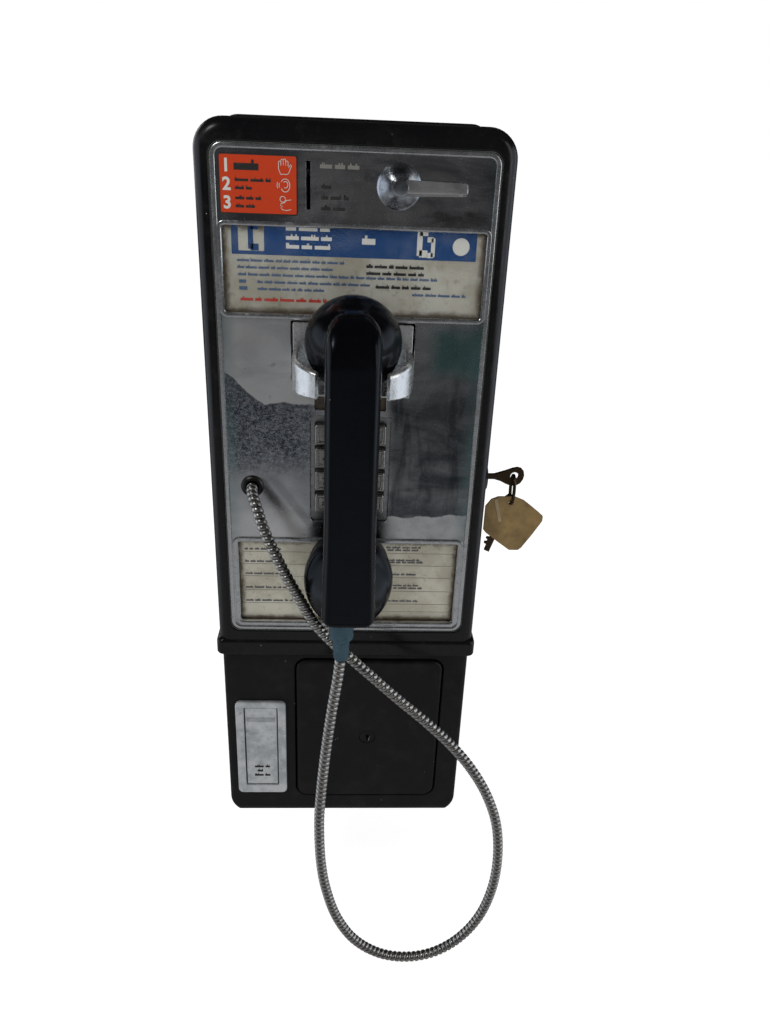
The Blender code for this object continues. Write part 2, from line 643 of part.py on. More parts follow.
def make_hook():
    pivot = (0.0, *HOOK_PIVOT)
    x0, x1, z0, z1 = grown(HOOK_OPENING, -0.0011)
    plate = slab_shape((x0, FACE_Y - 0.0002, z0), (x1, FACE_Y + 0.0028, z1), 0.001, segments=1)
    cradle = from_bmesh("hook_cradle", plate, CHROME, origin=pivot)
    weld(cradle, hook_arm(-1), hook_arm(1))
    # A web under the ear cup joins the two arms.
    weld(cradle, box_shape((-0.0350, FACE_Y - 0.0340, HOOK_BOTTOM - 0.0010),
                           (0.0350, FACE_Y + 0.0008, HOOK_BOTTOM + 0.0008)))
    # A neck behind the plate ends in the knuckle that turns on the pin.
    weld(cradle, box_shape((-0.0110, FACE_Y + 0.0015, 0.1130), (0.0110, FACE_Y + 0.0120, 0.1240)))
    weld(cradle, box_shape((-0.0120, FACE_Y + 0.0090, 0.1065), (0.0120, HOOK_PIVOT[0] + 0.0055, 0.1228)))
    bore = HOOK_PIN_RADIUS + GAP
    cut(cradle, rod_shape("x", pivot, 0.05, bore, 20))
    from_bmesh("hook_pivot_pin", rod_shape("x", pivot, 0.052, HOOK_PIN_RADIUS, 20), STEEL, origin=pivot)
    bracket = tray("hook_bracket", STEEL, (-0.0240, FACE_Y + 0.0090, 0.0990),
                   (0.0240, FACE_Y + 0.0300, 0.1260), 0.0020, ("front", "top"))
    cut(bracket, rod_shape("x", pivot, 0.06, bore, 20))


def make_hookswitch():
    body = box_shape((0.0270, FACE_Y + 0.0150, 0.1180), (0.0430, FACE_Y + 0.0380, 0.1460), 0.001)
    from_bmesh("hookswitch", body, BAKELITE)


def make_release():
    x, z = RELEASE_CENTRE
    centre = (x, FACE_Y, z)
    profile = [(0.0, 0.0175), (0.0040, 0.0175), (0.0046, 0.0170), (0.0056, 0.0115), (0.0090, 0.0065),
               (0.0120, 0.0030), (0.0128, 0.0015), (0.0128, 0.0004), (0.0, 0.0004)]
    lever = turned("coin_release_lever", CHROME, profile, "y", centre, 40)
    half = RELEASE_ARM_WIDTH / 2.0
    weld(lever, slab_shape((x, FACE_Y - 0.0170, z - half),
                           (x + RELEASE_ARM_LENGTH, FACE_Y - 0.0125, z + half),
                           0.0015, front=0.0012, segments=2))
    shaft = from_bmesh("release_shaft", rod_shape("y", (x, FACE_Y + 0.0170, z), 0.0330, 0.0034, 16), STEEL,
                       origin=centre)
    weld(shaft, box_shape((x - 0.0180, FACE_Y + 0.0260, z - 0.0050),
                          (x + 0.0050, FACE_Y + 0.0290, z + 0.0050)))
    turns = 3
    sides = 14
    coil_radius = 0.0062
    coil = []
    for step in range(turns * sides + 1):
        angle = 2.0 * math.pi * step / sides
        coil.append((x + coil_radius * math.cos(angle), FACE_Y + 0.0120 + 0.0022 * step / sides,
                     z + coil_radius * math.sin(angle)))
    tube("release_spring", STEEL, coil, 0.0006, 1)


def make_cord_exit():
    bore = CORD_RADIUS + 0.0007
    sleeve = CORD_HOLE_RADIUS - GAP
    flange = [(bore, 0.0018), (0.0066, 0.0018), (0.0078, 0.0004)]
    profile = flange + [(sleeve, 0.0004), (sleeve, -0.0060), (bore, -0.0060)]
    turned("cord_grommet", STEEL, profile, "y", (CORD_HOLE[0], FACE_Y, CORD_HOLE[1]), 24, closed=True)


def make_cord():
    tube("armored_cord", STEEL, spaced(smooth_path(CORD_ROUTE), CORD_SPACING), CORD_RADIUS, 2)


# --- side lock, its key and the tag -------------------------------------------------------
KEY_OUTLINE = (                 # bow and shank of the key in the lock, as (x, z) round its edge
    (0.0979, 0.0397), (0.1034, 0.0397), (0.1108, 0.0374), (0.1160, 0.0348), (0.1205, 0.0352),
    (0.1242, 0.0392), (0.1250, 0.0430), (0.1236, 0.0478), (0.1198, 0.0494), (0.1150, 0.0482),
    (0.1034, 0.0441), (0.0979, 0.0439),
)
SPARE_KEY_OUTLINE = (           # down from its top, and across to the right
    (-0.0030, 0.0030), (-0.0036, -0.0025), (0.0020, -0.0062), (0.0090, -0.0060), (0.0150, -0.0020),
    (0.0345, -0.0020), (0.0350, -0.0045), (0.0385, -0.0045), (0.0390, -0.0020), (0.0445, -0.0022),
    (0.0449, 0.0020), (0.0150, 0.0020), (0.0090, 0.0060), (0.0020, 0.0062),
)


def make_side_lock():
    inside = 0.0765
    barrel_end = LOCK_FACE_X
    plug_start = barrel_end - 0.0155
    barrel = from_bmesh("housing_lock", rod_shape("x", ((inside + barrel_end) / 2.0, LOCK_Y, LOCK_Z),
                                                  barrel_end - inside, LOCK_RADIUS, 24), ZINC)
    cut(barrel, rod_shape("x", (barrel_end, LOCK_Y, LOCK_Z), 2.0 * (barrel_end - plug_start + GAP),
                          LOCK_PLUG_RADIUS + GAP, 20))
    face = (barrel_end, LOCK_Y, LOCK_Z)
    plug = rod_shape("x", ((plug_start + barrel_end) / 2.0, LOCK_Y, LOCK_Z), barrel_end - plug_start,
                     LOCK_PLUG_RADIUS, 20)
    from_bmesh("lock_plug", plug, BRASS, origin=face)
    half = KEY_THICK / 2.0
    blank = flat_shape(KEY_OUTLINE, LOCK_Y - half, LOCK_Y + half)
    key = from_bmesh("housing_key", blank, BRONZE, origin=face)
    cut(key, rod_shape("y", (BOW_HOLE[0], LOCK_Y, BOW_HOLE[1]), 0.02, 0.0030, 16))


def make_tag():
    hang = (BOW_HOLE[0], LOCK_Y, BOW_HOLE[1])
    middle_z = (BOW_HOLE[1] + TAG_HOLE[1]) / 2.0
    reach = (BOW_HOLE[1] - TAG_HOLE[1]) / 2.0
    flattened = 0.62
    steps = 24
    ring = []
    for step in range(steps):
        angle = 2.0 * math.pi * step / steps
        ring.append((TAG_HOLE[0], LOCK_Y + reach * flattened * math.sin(angle),
                     middle_z + reach * math.cos(angle)))
    tube("key_link", BRONZE, ring, 0.0008, 1, closed=True)

    half = TAG_SIDE / 2.0
    plate = slab_shape((-half, LOCK_Y - 0.0009, -half), (half, LOCK_Y + 0.0009, half), 0.004, segments=3)
    plate.transform(Matrix.Translation(TAG_CENTRE) @ Matrix.Rotation(math.radians(TAG_TILT), 4, "Y"))
    tag = from_bmesh("key_tag", plate, TAG, origin=hang)
    cut(tag, rod_shape("y", (TAG_HOLE[0], LOCK_Y, TAG_HOLE[1]), 0.02, 0.0018, 16))


def make_spare_key():
    """The second key on the link, behind the tag, with its bit showing below."""
    top = Vector((0.1172, 0.0, 0.0232))
    tip = Vector((0.1036, 0.0, -0.0196))
    way = (tip - top).normalized()
    side = Vector((-way.z, 0.0, way.x))
    points = [top + way * distance + side * offset for distance, offset in SPARE_KEY_OUTLINE]
    outline = [(point.x, point.z) for point in points]
    key = from_bmesh("spare_key", flat_shape(outline, LOCK_Y + 0.0016, LOCK_Y + 0.0034), BRONZE,
                     origin=(BOW_HOLE[0], LOCK_Y, BOW_HOLE[1]))
    cut(key, rod_shape("y", (TAG_HOLE[0], LOCK_Y, TAG_HOLE[1] + 0.0007), 0.02, 0.0026, 12))


# --- handset ------------------------------------------------------------------------------
def cup_shape(radius, z, outward, droop=1.0, steps=32):
    """Hollow back of a cup, from its seam up to the handle.

    The half that faces away from the handle's middle is fuller than the half that faces it, and
    may be drawn out further from the axis, more and more away from the seam.
    """
    seam = radius - SEAM_INSET
    lip = seam - 0.003
    # (radius on the full half, radius on the lean half, height above the seam)
    rows = [(0.0, 0.0, CUP_HEIGHT), (CUP_NECK, CUP_NECK, CUP_HEIGHT),
            (radius - 0.0110, radius - 0.0125, 0.0350), (radius - 0.0055, radius - 0.0098, 0.0260),
            (radius - 0.0016, radius - 0.0080, 0.0190), (radius - 0.0007, radius - 0.0036, 0.0160),
            (radius, radius - 0.0014, 0.0110), (radius - 0.0008, radius - 0.0014, 0.0055), (seam, seam, 0.0),
            (lip, lip, 0.0), (lip, lip, 0.0060), (radius - 0.0090, radius - 0.0090, 0.0140),
            (0.0, 0.0, 0.0160)]
    shape = bmesh.new()
    rings = []
    for full, lean, height in rows:
        ring = []
        for step in range(steps):
            angle = 2.0 * math.pi * step / steps
            share = min(1.0, max(0.0, 0.5 + math.sin(angle)))
            reach = lean + (full - lean) * share
            rise = reach * math.sin(angle)
            if rise > 0.0:
                rise *= 1.0 + (droop - 1.0) * min(1.0, height / 0.0130)
            ring.append(shape.verts.new((reach * math.cos(angle), SEAM_Y - height, z + outward * rise)))
        rings.append(ring)
    for first, second in zip(rings, rings[1:]):
        for step in range(steps):
            after = (step + 1) % steps
            shape.faces.new((first[step], first[after], second[after], second[step]))
    bmesh.ops.remove_doubles(shape, verts=shape.verts, dist=0.00001)
    return shape


def handle_shape():
    """A straight bar with its ends rolled over towards the cups and its back edges eased."""
    shape = box_shape((-HANDLE_HALF_W, HANDLE_BACK, HANDLE_BOTTOM), (HANDLE_HALF_W, HANDLE_FRONT, HANDLE_TOP))
    for level, roll in ((HANDLE_TOP, 0.0150), (HANDLE_BOTTOM, 0.0050)):
        end = [e for e in shape.edges if along(e, 0) and e.verts[0].co.y < HANDLE_BACK + 1e-6
               and abs(e.verts[0].co.z - level) < 1e-6]
        bmesh.ops.bevel(shape, geom=end, offset=roll, segments=4, profile=0.5, affect="EDGES")
    behind = HANDLE_FRONT - 0.001
    sides = [e for e in shape.edges if not along(e, 0) and all(v.co.y < behind for v in e.verts)]
    bmesh.ops.bevel(shape, geom=sides, offset=0.0032, segments=2, profile=0.5, affect="EDGES")
    return shape


def make_handset():
    shell = from_bmesh("handset_shell", handle_shape(), HANDSET_BLACK)
    weld(shell, cup_shape(EAR_RADIUS, EAR_Z, 1.0), cup_shape(MOUTH_RADIUS, MOUTH_Z, -1.0, MOUTH_DROOP))
    # The boot's collar goes up against the handle's end.
    socket_height = 0.030
    socket = (BOOT_TOP[0], BOOT_TOP[1], BOOT_TOP[2] + GAP - socket_height / 2.0)
    cut(shell, rod_shape("z", socket, socket_height, BOOT_RADIUS + GAP, 24))
    for name, z, radius in (("ear", EAR_Z, EAR_RADIUS), ("mouth", MOUTH_Z, MOUTH_RADIUS)):
        rim = radius - SEAM_INSET
        cap = [(0.0, -GAP), (rim, -GAP), (rim, -0.0050), (rim - 0.0030, -0.0085), (rim - 0.0080, -0.0100),
               (0.0, -0.0085)]
        turned(f"{name}_cap", HANDSET_BLACK, cap, "y", (0.0, SEAM_Y, z))
    for name, z, radius in (("receiver_unit", EAR_Z, 0.0190), ("transmitter_unit", MOUTH_Z, 0.0200)):
        turned(name, ZINC, [(0.0, 0.0110), (radius, 0.0110), (radius, 0.0006), (0.0, 0.0006)], "y",
               (0.0, SEAM_Y, z), 24)
    boot = [(0.0, 0.0), (BOOT_RADIUS - 0.0004, 0.0), (BOOT_RADIUS, -0.0100), (BOOT_RADIUS - 0.0006, -0.0158),
            (0.0058, -0.0170), (0.0054, -0.0308), (0.0047, -0.0324), (0.0, -0.0324)]
    turned("cord_boot", BOOT_BLUE, boot, "z", BOOT_TOP, 24)


make_backplate()
make_lower_housing()
make_coin_return()
make_return_bucket()
make_vault()
make_coin_works()
make_ringer()
make_electronics()
make_upper_housing()
make_faceplate()
make_cards()
make_keypad()
make_hook()
make_hookswitch()
make_release()
make_cord_exit()
make_cord()
make_side_lock()
make_tag()
make_spare_key()
make_handset()
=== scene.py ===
"""Looks of the wall payphone: its finishes, printed cards, cord, lights and camera.

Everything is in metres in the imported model's frame: +X to the right of someone facing the
phone, +Y into the wall, +Z up.
"""

import math
import random

import bmesh
import bpy
from mathutils import Matrix, Vector


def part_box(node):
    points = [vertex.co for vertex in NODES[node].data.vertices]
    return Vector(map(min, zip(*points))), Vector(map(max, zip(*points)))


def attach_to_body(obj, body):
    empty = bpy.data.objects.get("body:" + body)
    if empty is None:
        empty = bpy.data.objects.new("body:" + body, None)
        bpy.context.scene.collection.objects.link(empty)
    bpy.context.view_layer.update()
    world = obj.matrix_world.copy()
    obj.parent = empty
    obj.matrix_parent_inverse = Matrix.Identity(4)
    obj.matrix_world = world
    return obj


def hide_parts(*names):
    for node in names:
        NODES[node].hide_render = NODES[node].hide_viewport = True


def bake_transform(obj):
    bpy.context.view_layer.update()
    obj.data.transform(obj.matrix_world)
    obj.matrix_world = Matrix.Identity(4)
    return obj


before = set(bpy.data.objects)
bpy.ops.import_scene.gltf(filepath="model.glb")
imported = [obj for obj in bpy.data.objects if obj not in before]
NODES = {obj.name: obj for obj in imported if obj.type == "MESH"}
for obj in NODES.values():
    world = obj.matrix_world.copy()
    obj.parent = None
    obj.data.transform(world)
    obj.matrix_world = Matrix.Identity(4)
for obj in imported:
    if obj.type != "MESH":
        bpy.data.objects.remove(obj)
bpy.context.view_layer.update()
SCENE = bpy.context.scene

# --- camera ---------------------------------------------------------------------------------
CAMERA_PLACE = Vector((-0.0042, -0.6549, 0.2538))
CAMERA_YAW = math.radians(3.237)
CAMERA_PITCH = math.radians(24.562)
CAMERA_ROLL = math.radians(2.365)
CAMERA_LENS = 28.083

forward = Vector((math.sin(CAMERA_YAW) * math.cos(CAMERA_PITCH),
                  math.cos(CAMERA_YAW) * math.cos(CAMERA_PITCH), -math.sin(CAMERA_PITCH)))
level_right = Vector((math.cos(CAMERA_YAW), -math.sin(CAMERA_YAW), 0.0))
level_up = level_right.cross(forward)
right = level_right * math.cos(CAMERA_ROLL) + level_up * math.sin(CAMERA_ROLL)
up = level_up * math.cos(CAMERA_ROLL) - level_right * math.sin(CAMERA_ROLL)
turned = Matrix((right, up, -forward)).transposed().to_4x4()

camera = bpy.data.objects.new("camera", bpy.data.cameras.new("camera"))
camera.data.lens = CAMERA_LENS
camera.data.clip_start = 0.01
camera.data.dof.use_dof = False
camera.matrix_world = Matrix.Translation(CAMERA_PLACE) @ turned
SCENE.collection.objects.link(camera)
SCENE.camera = camera


# --- sizes taken from the frame ---------------------------------------------------------------
def extent_of(node, shrink=0.0):
    """(x0, x1, z0, z1) of a node's box, made smaller on each side."""
    low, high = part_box(node)
    return (low.x + shrink, high.x - shrink, low.z + shrink, high.z - shrink)


def grown(extent, by):
    x0, x1, z0, z1 = extent
    return (x0 - by, x1 + by, z0 - by, z1 + by)


def centre_of(node):
    low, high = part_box(node)
    return (low + high) / 2.0


PLATE = extent_of("faceplate")
FACE_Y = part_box("faceplate")[0].y
PLATE_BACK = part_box("faceplate")[1].y
COVER_LOW, COVER_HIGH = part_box("upper_housing")
LOWER_LOW, LOWER_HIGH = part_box("lower_housing")
UPPER_WINDOW = extent_of("upper_card_window", 0.0025)
LOWER_WINDOW = extent_of("lower_card_window", 0.0025)
NUMBER_WINDOW = extent_of("number_card", 0.0015)
KEYPAD_OPENING = extent_of("keypad_frame", 0.002)
HOOK_OPENING = (-0.0393, 0.0393, 0.111, 0.1525)
COIN_SLOT = (-0.0295, -0.0269, 0.2182, 0.2449)
RELEASE = Vector((0.0253, FACE_Y, 0.2326))
LOWER_FRONT = -0.138

CORD_DIAMETER = 0.0078
# The cord's middle line from its ferrule to the handset's boot.
CORD_ROUTE = (
    (-0.0667, -0.1482, 0.0392), (-0.0662, -0.154, 0.0384), (-0.0646, -0.16, 0.0358),
    (-0.0617, -0.166, 0.0308), (-0.0577, -0.1722, 0.021), (-0.0516, -0.1775, 0.009),
    (-0.0427, -0.1815, -0.0092), (-0.0323, -0.184, -0.0284), (-0.023, -0.1855, -0.045),
    (-0.0113, -0.1865, -0.0592), (0.0033, -0.1875, -0.0736), (0.0168, -0.188, -0.0868),
    (0.037, -0.189, -0.1064), (0.0579, -0.19, -0.1258), (0.0775, -0.191, -0.146),
    (0.0943, -0.192, -0.1675), (0.1086, -0.193, -0.1928), (0.119, -0.194, -0.2226),
    (0.1232, -0.195, -0.2558), (0.1218, -0.196, -0.289), (0.114, -0.197, -0.32),
    (0.099, -0.198, -0.345), (0.0788, -0.199, -0.3608), (0.0556, -0.2, -0.3654),
    (0.0322, -0.201, -0.359), (0.0112, -0.202, -0.341), (-0.0036, -0.203, -0.3135),
    (-0.0126, -0.204, -0.2802), (-0.0168, -0.2045, -0.2493), (-0.0182, -0.205, -0.2135),
    (-0.0173, -0.2055, -0.1854), (-0.0142, -0.206, -0.1459), (-0.0098, -0.206, -0.1049),
    (-0.0062, -0.206, -0.0777), (-0.0045, -0.206, -0.0609),
)


# --- finishes ---------------------------------------------------------------------------------
class Nodes:
    """Short ways to build a node tree."""

    def __init__(self, tree):
        self.tree = tree

    def add(self, kind, **settings):
        node = self.tree.nodes.new(kind)
        for key, value in settings.items():
            setattr(node, key, value)
        return node

    def put(self, value, socket):
        if isinstance(value, bpy.types.NodeSocket):
            self.tree.links.new(value, socket)
        elif isinstance(value, tuple) and len(value) == 3 and socket.type == "RGBA":
            socket.default_value = (*value, 1.0)
        else:
            socket.default_value = value

    def between(self, value, low, high, to_low=0.0, to_high=1.0):
        """Value eased from one span to another, and held at its ends."""
        node = self.add("ShaderNodeMapRange", interpolation_type="SMOOTHSTEP")
        spans = {"Value": value, "From Min": low, "From Max": high, "To Min": to_low, "To Max": to_high}
        for key, given in spans.items():
            self.put(given, node.inputs[key])
        return node.outputs["Result"]

    def calc(self, operation, first, second=0.5):
        node = self.add("ShaderNodeMath", operation=operation)
        self.put(first, node.inputs[0])
        self.put(second, node.inputs[1])
        return node.outputs[0]

    def times(self, *values):
        result = values[0]
        for value in values[1:]:
            result = self.calc("MULTIPLY", result, value)
        return result

    def plus(self, first, second):
        return self.calc("ADD", first, second)

    def less(self, first, second):
        return self.calc("SUBTRACT", first, second)

    def mix(self, amount, first, second):
        node = self.add("ShaderNodeMix", data_type="RGBA")
        self.put(amount, node.inputs["Factor"])
        self.put(first, node.inputs[6])
        self.put(second, node.inputs[7])
        return node.outputs[2]

    def axes(self, place):
        node = self.add("ShaderNodeSeparateXYZ")
        self.put(place, node.inputs[0])
        return node.outputs


class Finish(Nodes):
    """One Principled material, painted in layers.  Its texture places are the frame's metres."""

    def __init__(self, name, colour, roughness, metallic=0.0, **sockets):
        self.material = bpy.data.materials.new(name)
        self.material.use_nodes = True
        super().__init__(self.material.node_tree)
        self.shader = self.tree.nodes["Principled BSDF"]
        self.place = self.add("ShaderNodeTexCoord").outputs["Object"]
        sockets.update(Base_Color=(*colour, 1.0), Roughness=roughness, Metallic=metallic)
        for socket, value in sockets.items():
            self.shader.inputs[socket.replace("_", " ")].default_value = value

    def noise(self, size, detail=3.0, roughness=0.5, place=None, distortion=0.0):
        """Cloudy pattern whose features are about that size in metres."""
        node = self.add("ShaderNodeTexNoise")
        self.put(self.place if place is None else place, node.inputs["Vector"])
        given = {"Scale": 1.0 / size, "Detail": detail, "Roughness": roughness, "Distortion": distortion}
        for key, value in given.items():
            node.inputs[key].default_value = value
        return node.outputs["Fac"]

    def patches(self, span, size, *settings, **more):
        """Where a cloudy pattern is high: from 0 to 1 over the span."""
        return self.between(self.noise(size, *settings, **more), *span)

    def stretched(self, size, scale, turn=(0.0, 0.0, 0.0), detail=2.0, **more):
        """Cloudy pattern drawn out along an axis."""
        node = self.add("ShaderNodeMapping")
        self.put(self.place, node.inputs["Vector"])
        node.inputs["Scale"].default_value = scale
        node.inputs["Rotation"].default_value = turn
        return self.noise(size, detail, place=node.outputs["Vector"], **more)

    def strokes(self, span, size, scale, turn):
        """Fine lines that lie along the stretched pattern."""
        return self.between(self.stretched(size, scale, turn), *span)

    def specks(self, size, rim, patch, detail, span):
        """Dots, their edges within the rim, that come only in patches."""
        node = self.add("ShaderNodeTexVoronoi")
        self.put(self.place, node.inputs["Vector"])
        node.inputs["Scale"].default_value = 1.0 / size
        dots = self.between(node.outputs["Distance"], *rim)
        return self.times(dots, self.patches(span, patch, detail))

    def bump(self, height, depth, under=None):
        """Bump of that depth in metres."""
        node = self.add("ShaderNodeBump")
        node.inputs["Strength"].default_value = 1.0
        node.inputs["Distance"].default_value = depth
        self.put(height, node.inputs["Height"])
        if under is not None:
            self.put(under, node.inputs["Normal"])
        return node.outputs["Normal"]

    def start(self, amount, first, second):
        """The lowest layer, between two shades."""
        self.colour = self.mix(amount, first, second)

    def paint(self, colour, *masks):
        """A layer of colour over the others, as strong as the masks' product."""
        self.colour = self.mix(self.times(*masks), self.colour, colour)

    def roughen(self, *masks):
        self.rough = self.plus(self.rough, self.times(*masks))

    def done(self, normal=None):
        self.put(self.colour, self.shader.inputs["Base Color"])
        self.put(self.rough, self.shader.inputs["Roughness"])
        if normal is not None:
            self.put(normal, self.shader.inputs["Normal"])
        return self.material


def shade(colour, factor):
    """A colour made darker or lighter, and no brighter than white."""
    return tuple(min(1.0, factor * value) for value in colour)


NEAR_BLACK = (0.05, 0.045, 0.04)


def black_enamel():
    """Glossy stoved enamel with dust, small chips and a fine orange peel."""
    f = Finish("black_enamel", (0.004, 0.0043, 0.005), 0.2, Specular_IOR_Level=0.34)
    cloud = f.noise(0.03, 4.0, 0.6)
    grime = f.patches((0.5, 0.75), 0.012, 6.0, 0.65)
    f.start(cloud, (0.0026, 0.0028, 0.0034), (0.0056, 0.0056, 0.006))
    f.paint((0.016, 0.0145, 0.0125), grime, 0.35)
    f.paint((0.3, 0.3, 0.28), f.specks(0.0045, (0.085, 0.045), 0.006, 1.0, (0.62, 0.68)))
    f.paint((0.2, 0.2, 0.2), f.strokes((0.7, 0.76), 0.0035, (14.0, 1.0, 1.0), (0.0, 0.5, 0.3)), 0.06)
    f.rough = f.between(cloud, 0.35, 0.65, 0.14, 0.28)
    f.roughen(grime, 0.2)
    return f.done(f.bump(f.noise(0.0022, 2.0), 0.00002, f.bump(cloud, 0.0002)))


def black_wrinkle():
    """Satin black paint, rubbed and dusty."""
    f = Finish("black_wrinkle", (0.005, 0.005, 0.0052), 0.5, Specular_IOR_Level=0.26)
    cloud = f.noise(0.04, 5.0, 0.6)
    f.start(cloud, (0.0034, 0.0034, 0.0038), (0.0072, 0.007, 0.0068))
    f.paint((0.02, 0.0185, 0.016), f.patches((0.45, 0.78), 0.016, 6.0, 0.7), 0.4)
    f.paint((0.26, 0.25, 0.23), f.specks(0.006, (0.065, 0.035), 0.01, 1.0, (0.58, 0.64)))
    f.paint((0.16, 0.155, 0.15), f.strokes((0.68, 0.78), 0.0045, (1.0, 1.0, 16.0), (0.0, 0.7, 0.0)), 0.08)
    f.rough = f.between(cloud, 0.3, 0.7, 0.34, 0.54)
    return f.done(f.bump(f.noise(0.001, 3.0, 0.6), 0.00005))


def worn_chrome_and_reflection():
    """The faceplate's chrome, with a painted reflection of the room: hazed and painted pale at the upper
    left, painted dark below it, painted dark and streaked at the right.
    """
    f = Finish("worn_chrome_and_reflection", (0.5, 0.51, 0.52), 0.2, 1.0)
    x, _, z = f.axes(f.place)
    cloud = f.noise(0.035, 6.0, 0.62, distortion=0.6)
    broad = f.noise(0.1, 3.0, 0.5, distortion=1.2)
    mottle = f.noise(0.009, 5.0, 0.65)
    grit = f.noise(0.001, 4.0, 0.7)
    smear = f.stretched(0.02, (0.35, 1.0, 1.0), (0.0, 0.6, 0.0), 5.0, roughness=0.6, distortion=0.8)
    wander = f.times(f.less(f.noise(0.026, 3.0, 0.55), 0.5), 0.014)
    level = f.plus(z, wander)

    # The haze and its painted pale reflection end below in a crisp curve that drops towards the middle.
    above = f.less(level, f.between(x, -0.055, -0.088, 0.0975, 0.12))
    left = f.between(x, -0.018, -0.032)
    haze = f.times(f.between(above, -0.0004, 0.0008), left, f.between(z, 0.165, 0.15))
    whitish_reflection = f.times(haze, f.between(above, 0.014, 0.001), f.between(smear, 0.3, 0.55, 0.3))
    # Painted dark reflection below the pale one at the left, and painted pale reflection at the lower left.
    dark_reflection_left = f.times(f.between(above, 0.0008, -0.0004), f.between(level, 0.036, 0.066), left)
    pale_reflection_left = f.times(f.between(level, 0.036, 0.008), f.between(x, -0.02, -0.04))
    across = f.calc("ABSOLUTE", f.plus(f.plus(x, f.times(z, 0.75)), 0.019))
    streak = f.times(f.between(across, 0.006, 0.0015), f.between(z, 0.05, 0.042),
                     f.between(z, -0.002, 0.008), left)

    # The right has a painted dark reflection down to a wavy line, a painted pale reflection below it, and is
    # stained green above.
    waves = f.less(level, 0.0195)
    beside = f.between(x, 0.019, 0.03)
    dark_reflection_right = f.times(beside, f.between(waves, -0.0004, 0.0008), f.between(z, 0.15, 0.095))
    pale_reflection_right = f.times(beside, f.between(waves, 0.0008, -0.0004), f.between(z, -0.08, -0.07))
    down = f.stretched(0.01, (1.0, 1.0, 0.16), (0.0, 0.12, 0.0), 4.0, roughness=0.6, distortion=0.5)
    edge = f.plus(x, f.times(wander, 0.7))
    green = f.times(f.between(edge, 0.044, 0.058), f.between(level, 0.112, 0.126),
                    f.between(level, 0.156, 0.144), f.between(smear, 0.3, 0.55, 0.55))

    f.start(f.between(broad, 0.35, 0.65), (0.4, 0.41, 0.43), (0.66, 0.665, 0.67))
    # Painted pale reflection across the top of the plate, with a darker patch at its right.
    f.paint((0.98, 0.97, 0.96), f.times(f.between(z, 0.205, 0.214), f.between(smear, 0.42, 0.62)), 0.75)
    dusk = f.times(f.between(z, 0.209, 0.216), f.between(smear, 0.48, 0.36), f.between(x, -0.01, 0.03))
    f.paint((0.2, 0.165, 0.15), dusk, 0.7)
    # Painted pale reflection on the haze and at the lower left, then the painted dark reflection below the
    # haze, grainy and with rub marks.
    f.paint((0.99, 0.99, 0.97), haze, f.between(smear, 0.35, 0.65, 0.55))
    f.paint((0.98, 0.98, 0.96), whitish_reflection)
    f.paint((1.0, 1.0, 0.99), pale_reflection_left)
    f.paint((0.24, 0.26, 0.27), streak, 0.55)
    grain = f.between(f.plus(f.times(grit, 0.6), f.times(f.noise(0.0028, 3.0, 0.7), 0.4)), 0.44, 0.58)
    grainy_dark_reflection = f.mix(grain, (0.04, 0.05, 0.066), (0.4, 0.43, 0.48))
    f.paint(grainy_dark_reflection, dark_reflection_left, f.between(cloud, 0.3, 0.6, 0.65))
    rubs = f.strokes((0.62, 0.68), 0.0045, (1.0, 1.0, 10.0), (0.0, 0.65, 0.0))
    f.paint((0.8, 0.82, 0.85), dark_reflection_left, rubs, 0.55)
    # Painted dark reflection at the right, with darker streaks running down, and the painted pale reflection
    # below it.
    f.paint((0.05, 0.06, 0.068), dark_reflection_right, f.between(smear, 0.35, 0.65, 0.62, 0.92))
    f.paint((0.022, 0.027, 0.032), f.times(dark_reflection_right, f.between(down, 0.46, 0.66)), 0.55)
    f.paint((0.86, 0.87, 0.86), pale_reflection_right, f.between(mottle, 0.3, 0.6, 0.45, 0.95))
    f.paint((0.13, 0.3, 0.275), green, 0.85)
    f.paint((0.16, 0.165, 0.17), f.times(f.between(mottle, 0.6, 0.7), f.between(cloud, 0.48, 0.6)), 0.35)
    pit = f.specks(0.0035, (0.1, 0.05), 0.007, 2.0, (0.55, 0.62))
    f.paint(NEAR_BLACK, pit, 0.75)
    verge = f.between(f.calc("ABSOLUTE", x), 0.072, 0.084)
    f.paint((0.24, 0.4, 0.4), verge, f.between(smear, 0.35, 0.6, 0.15, 0.55))
    scratch = f.calc("MAXIMUM", f.strokes((0.69, 0.72), 0.004, (26.0, 1.0, 1.0), (0.0, 0.55, 0.0)),
                     f.strokes((0.69, 0.72), 0.005, (1.0, 1.0, 24.0), (0.0, 0.75, 0.0)))
    f.paint((0.85, 0.86, 0.88), scratch, 0.4)

    f.rough = f.between(cloud, 0.3, 0.7, 0.1, 0.24)
    dull = f.calc("MAXIMUM", haze, f.calc("MAXIMUM", f.times(pale_reflection_left, 0.8), f.times(pale_reflection_right, 0.8)))
    for mask, amount in ((dull, 0.24), (dark_reflection_left, 0.1), (scratch, 0.15), (pit, 0.3)):
        f.roughen(mask, amount)
    return f.done(f.bump(f.plus(grit, f.times(pit, -2.0)), 0.000012, f.bump(broad, 0.001)))


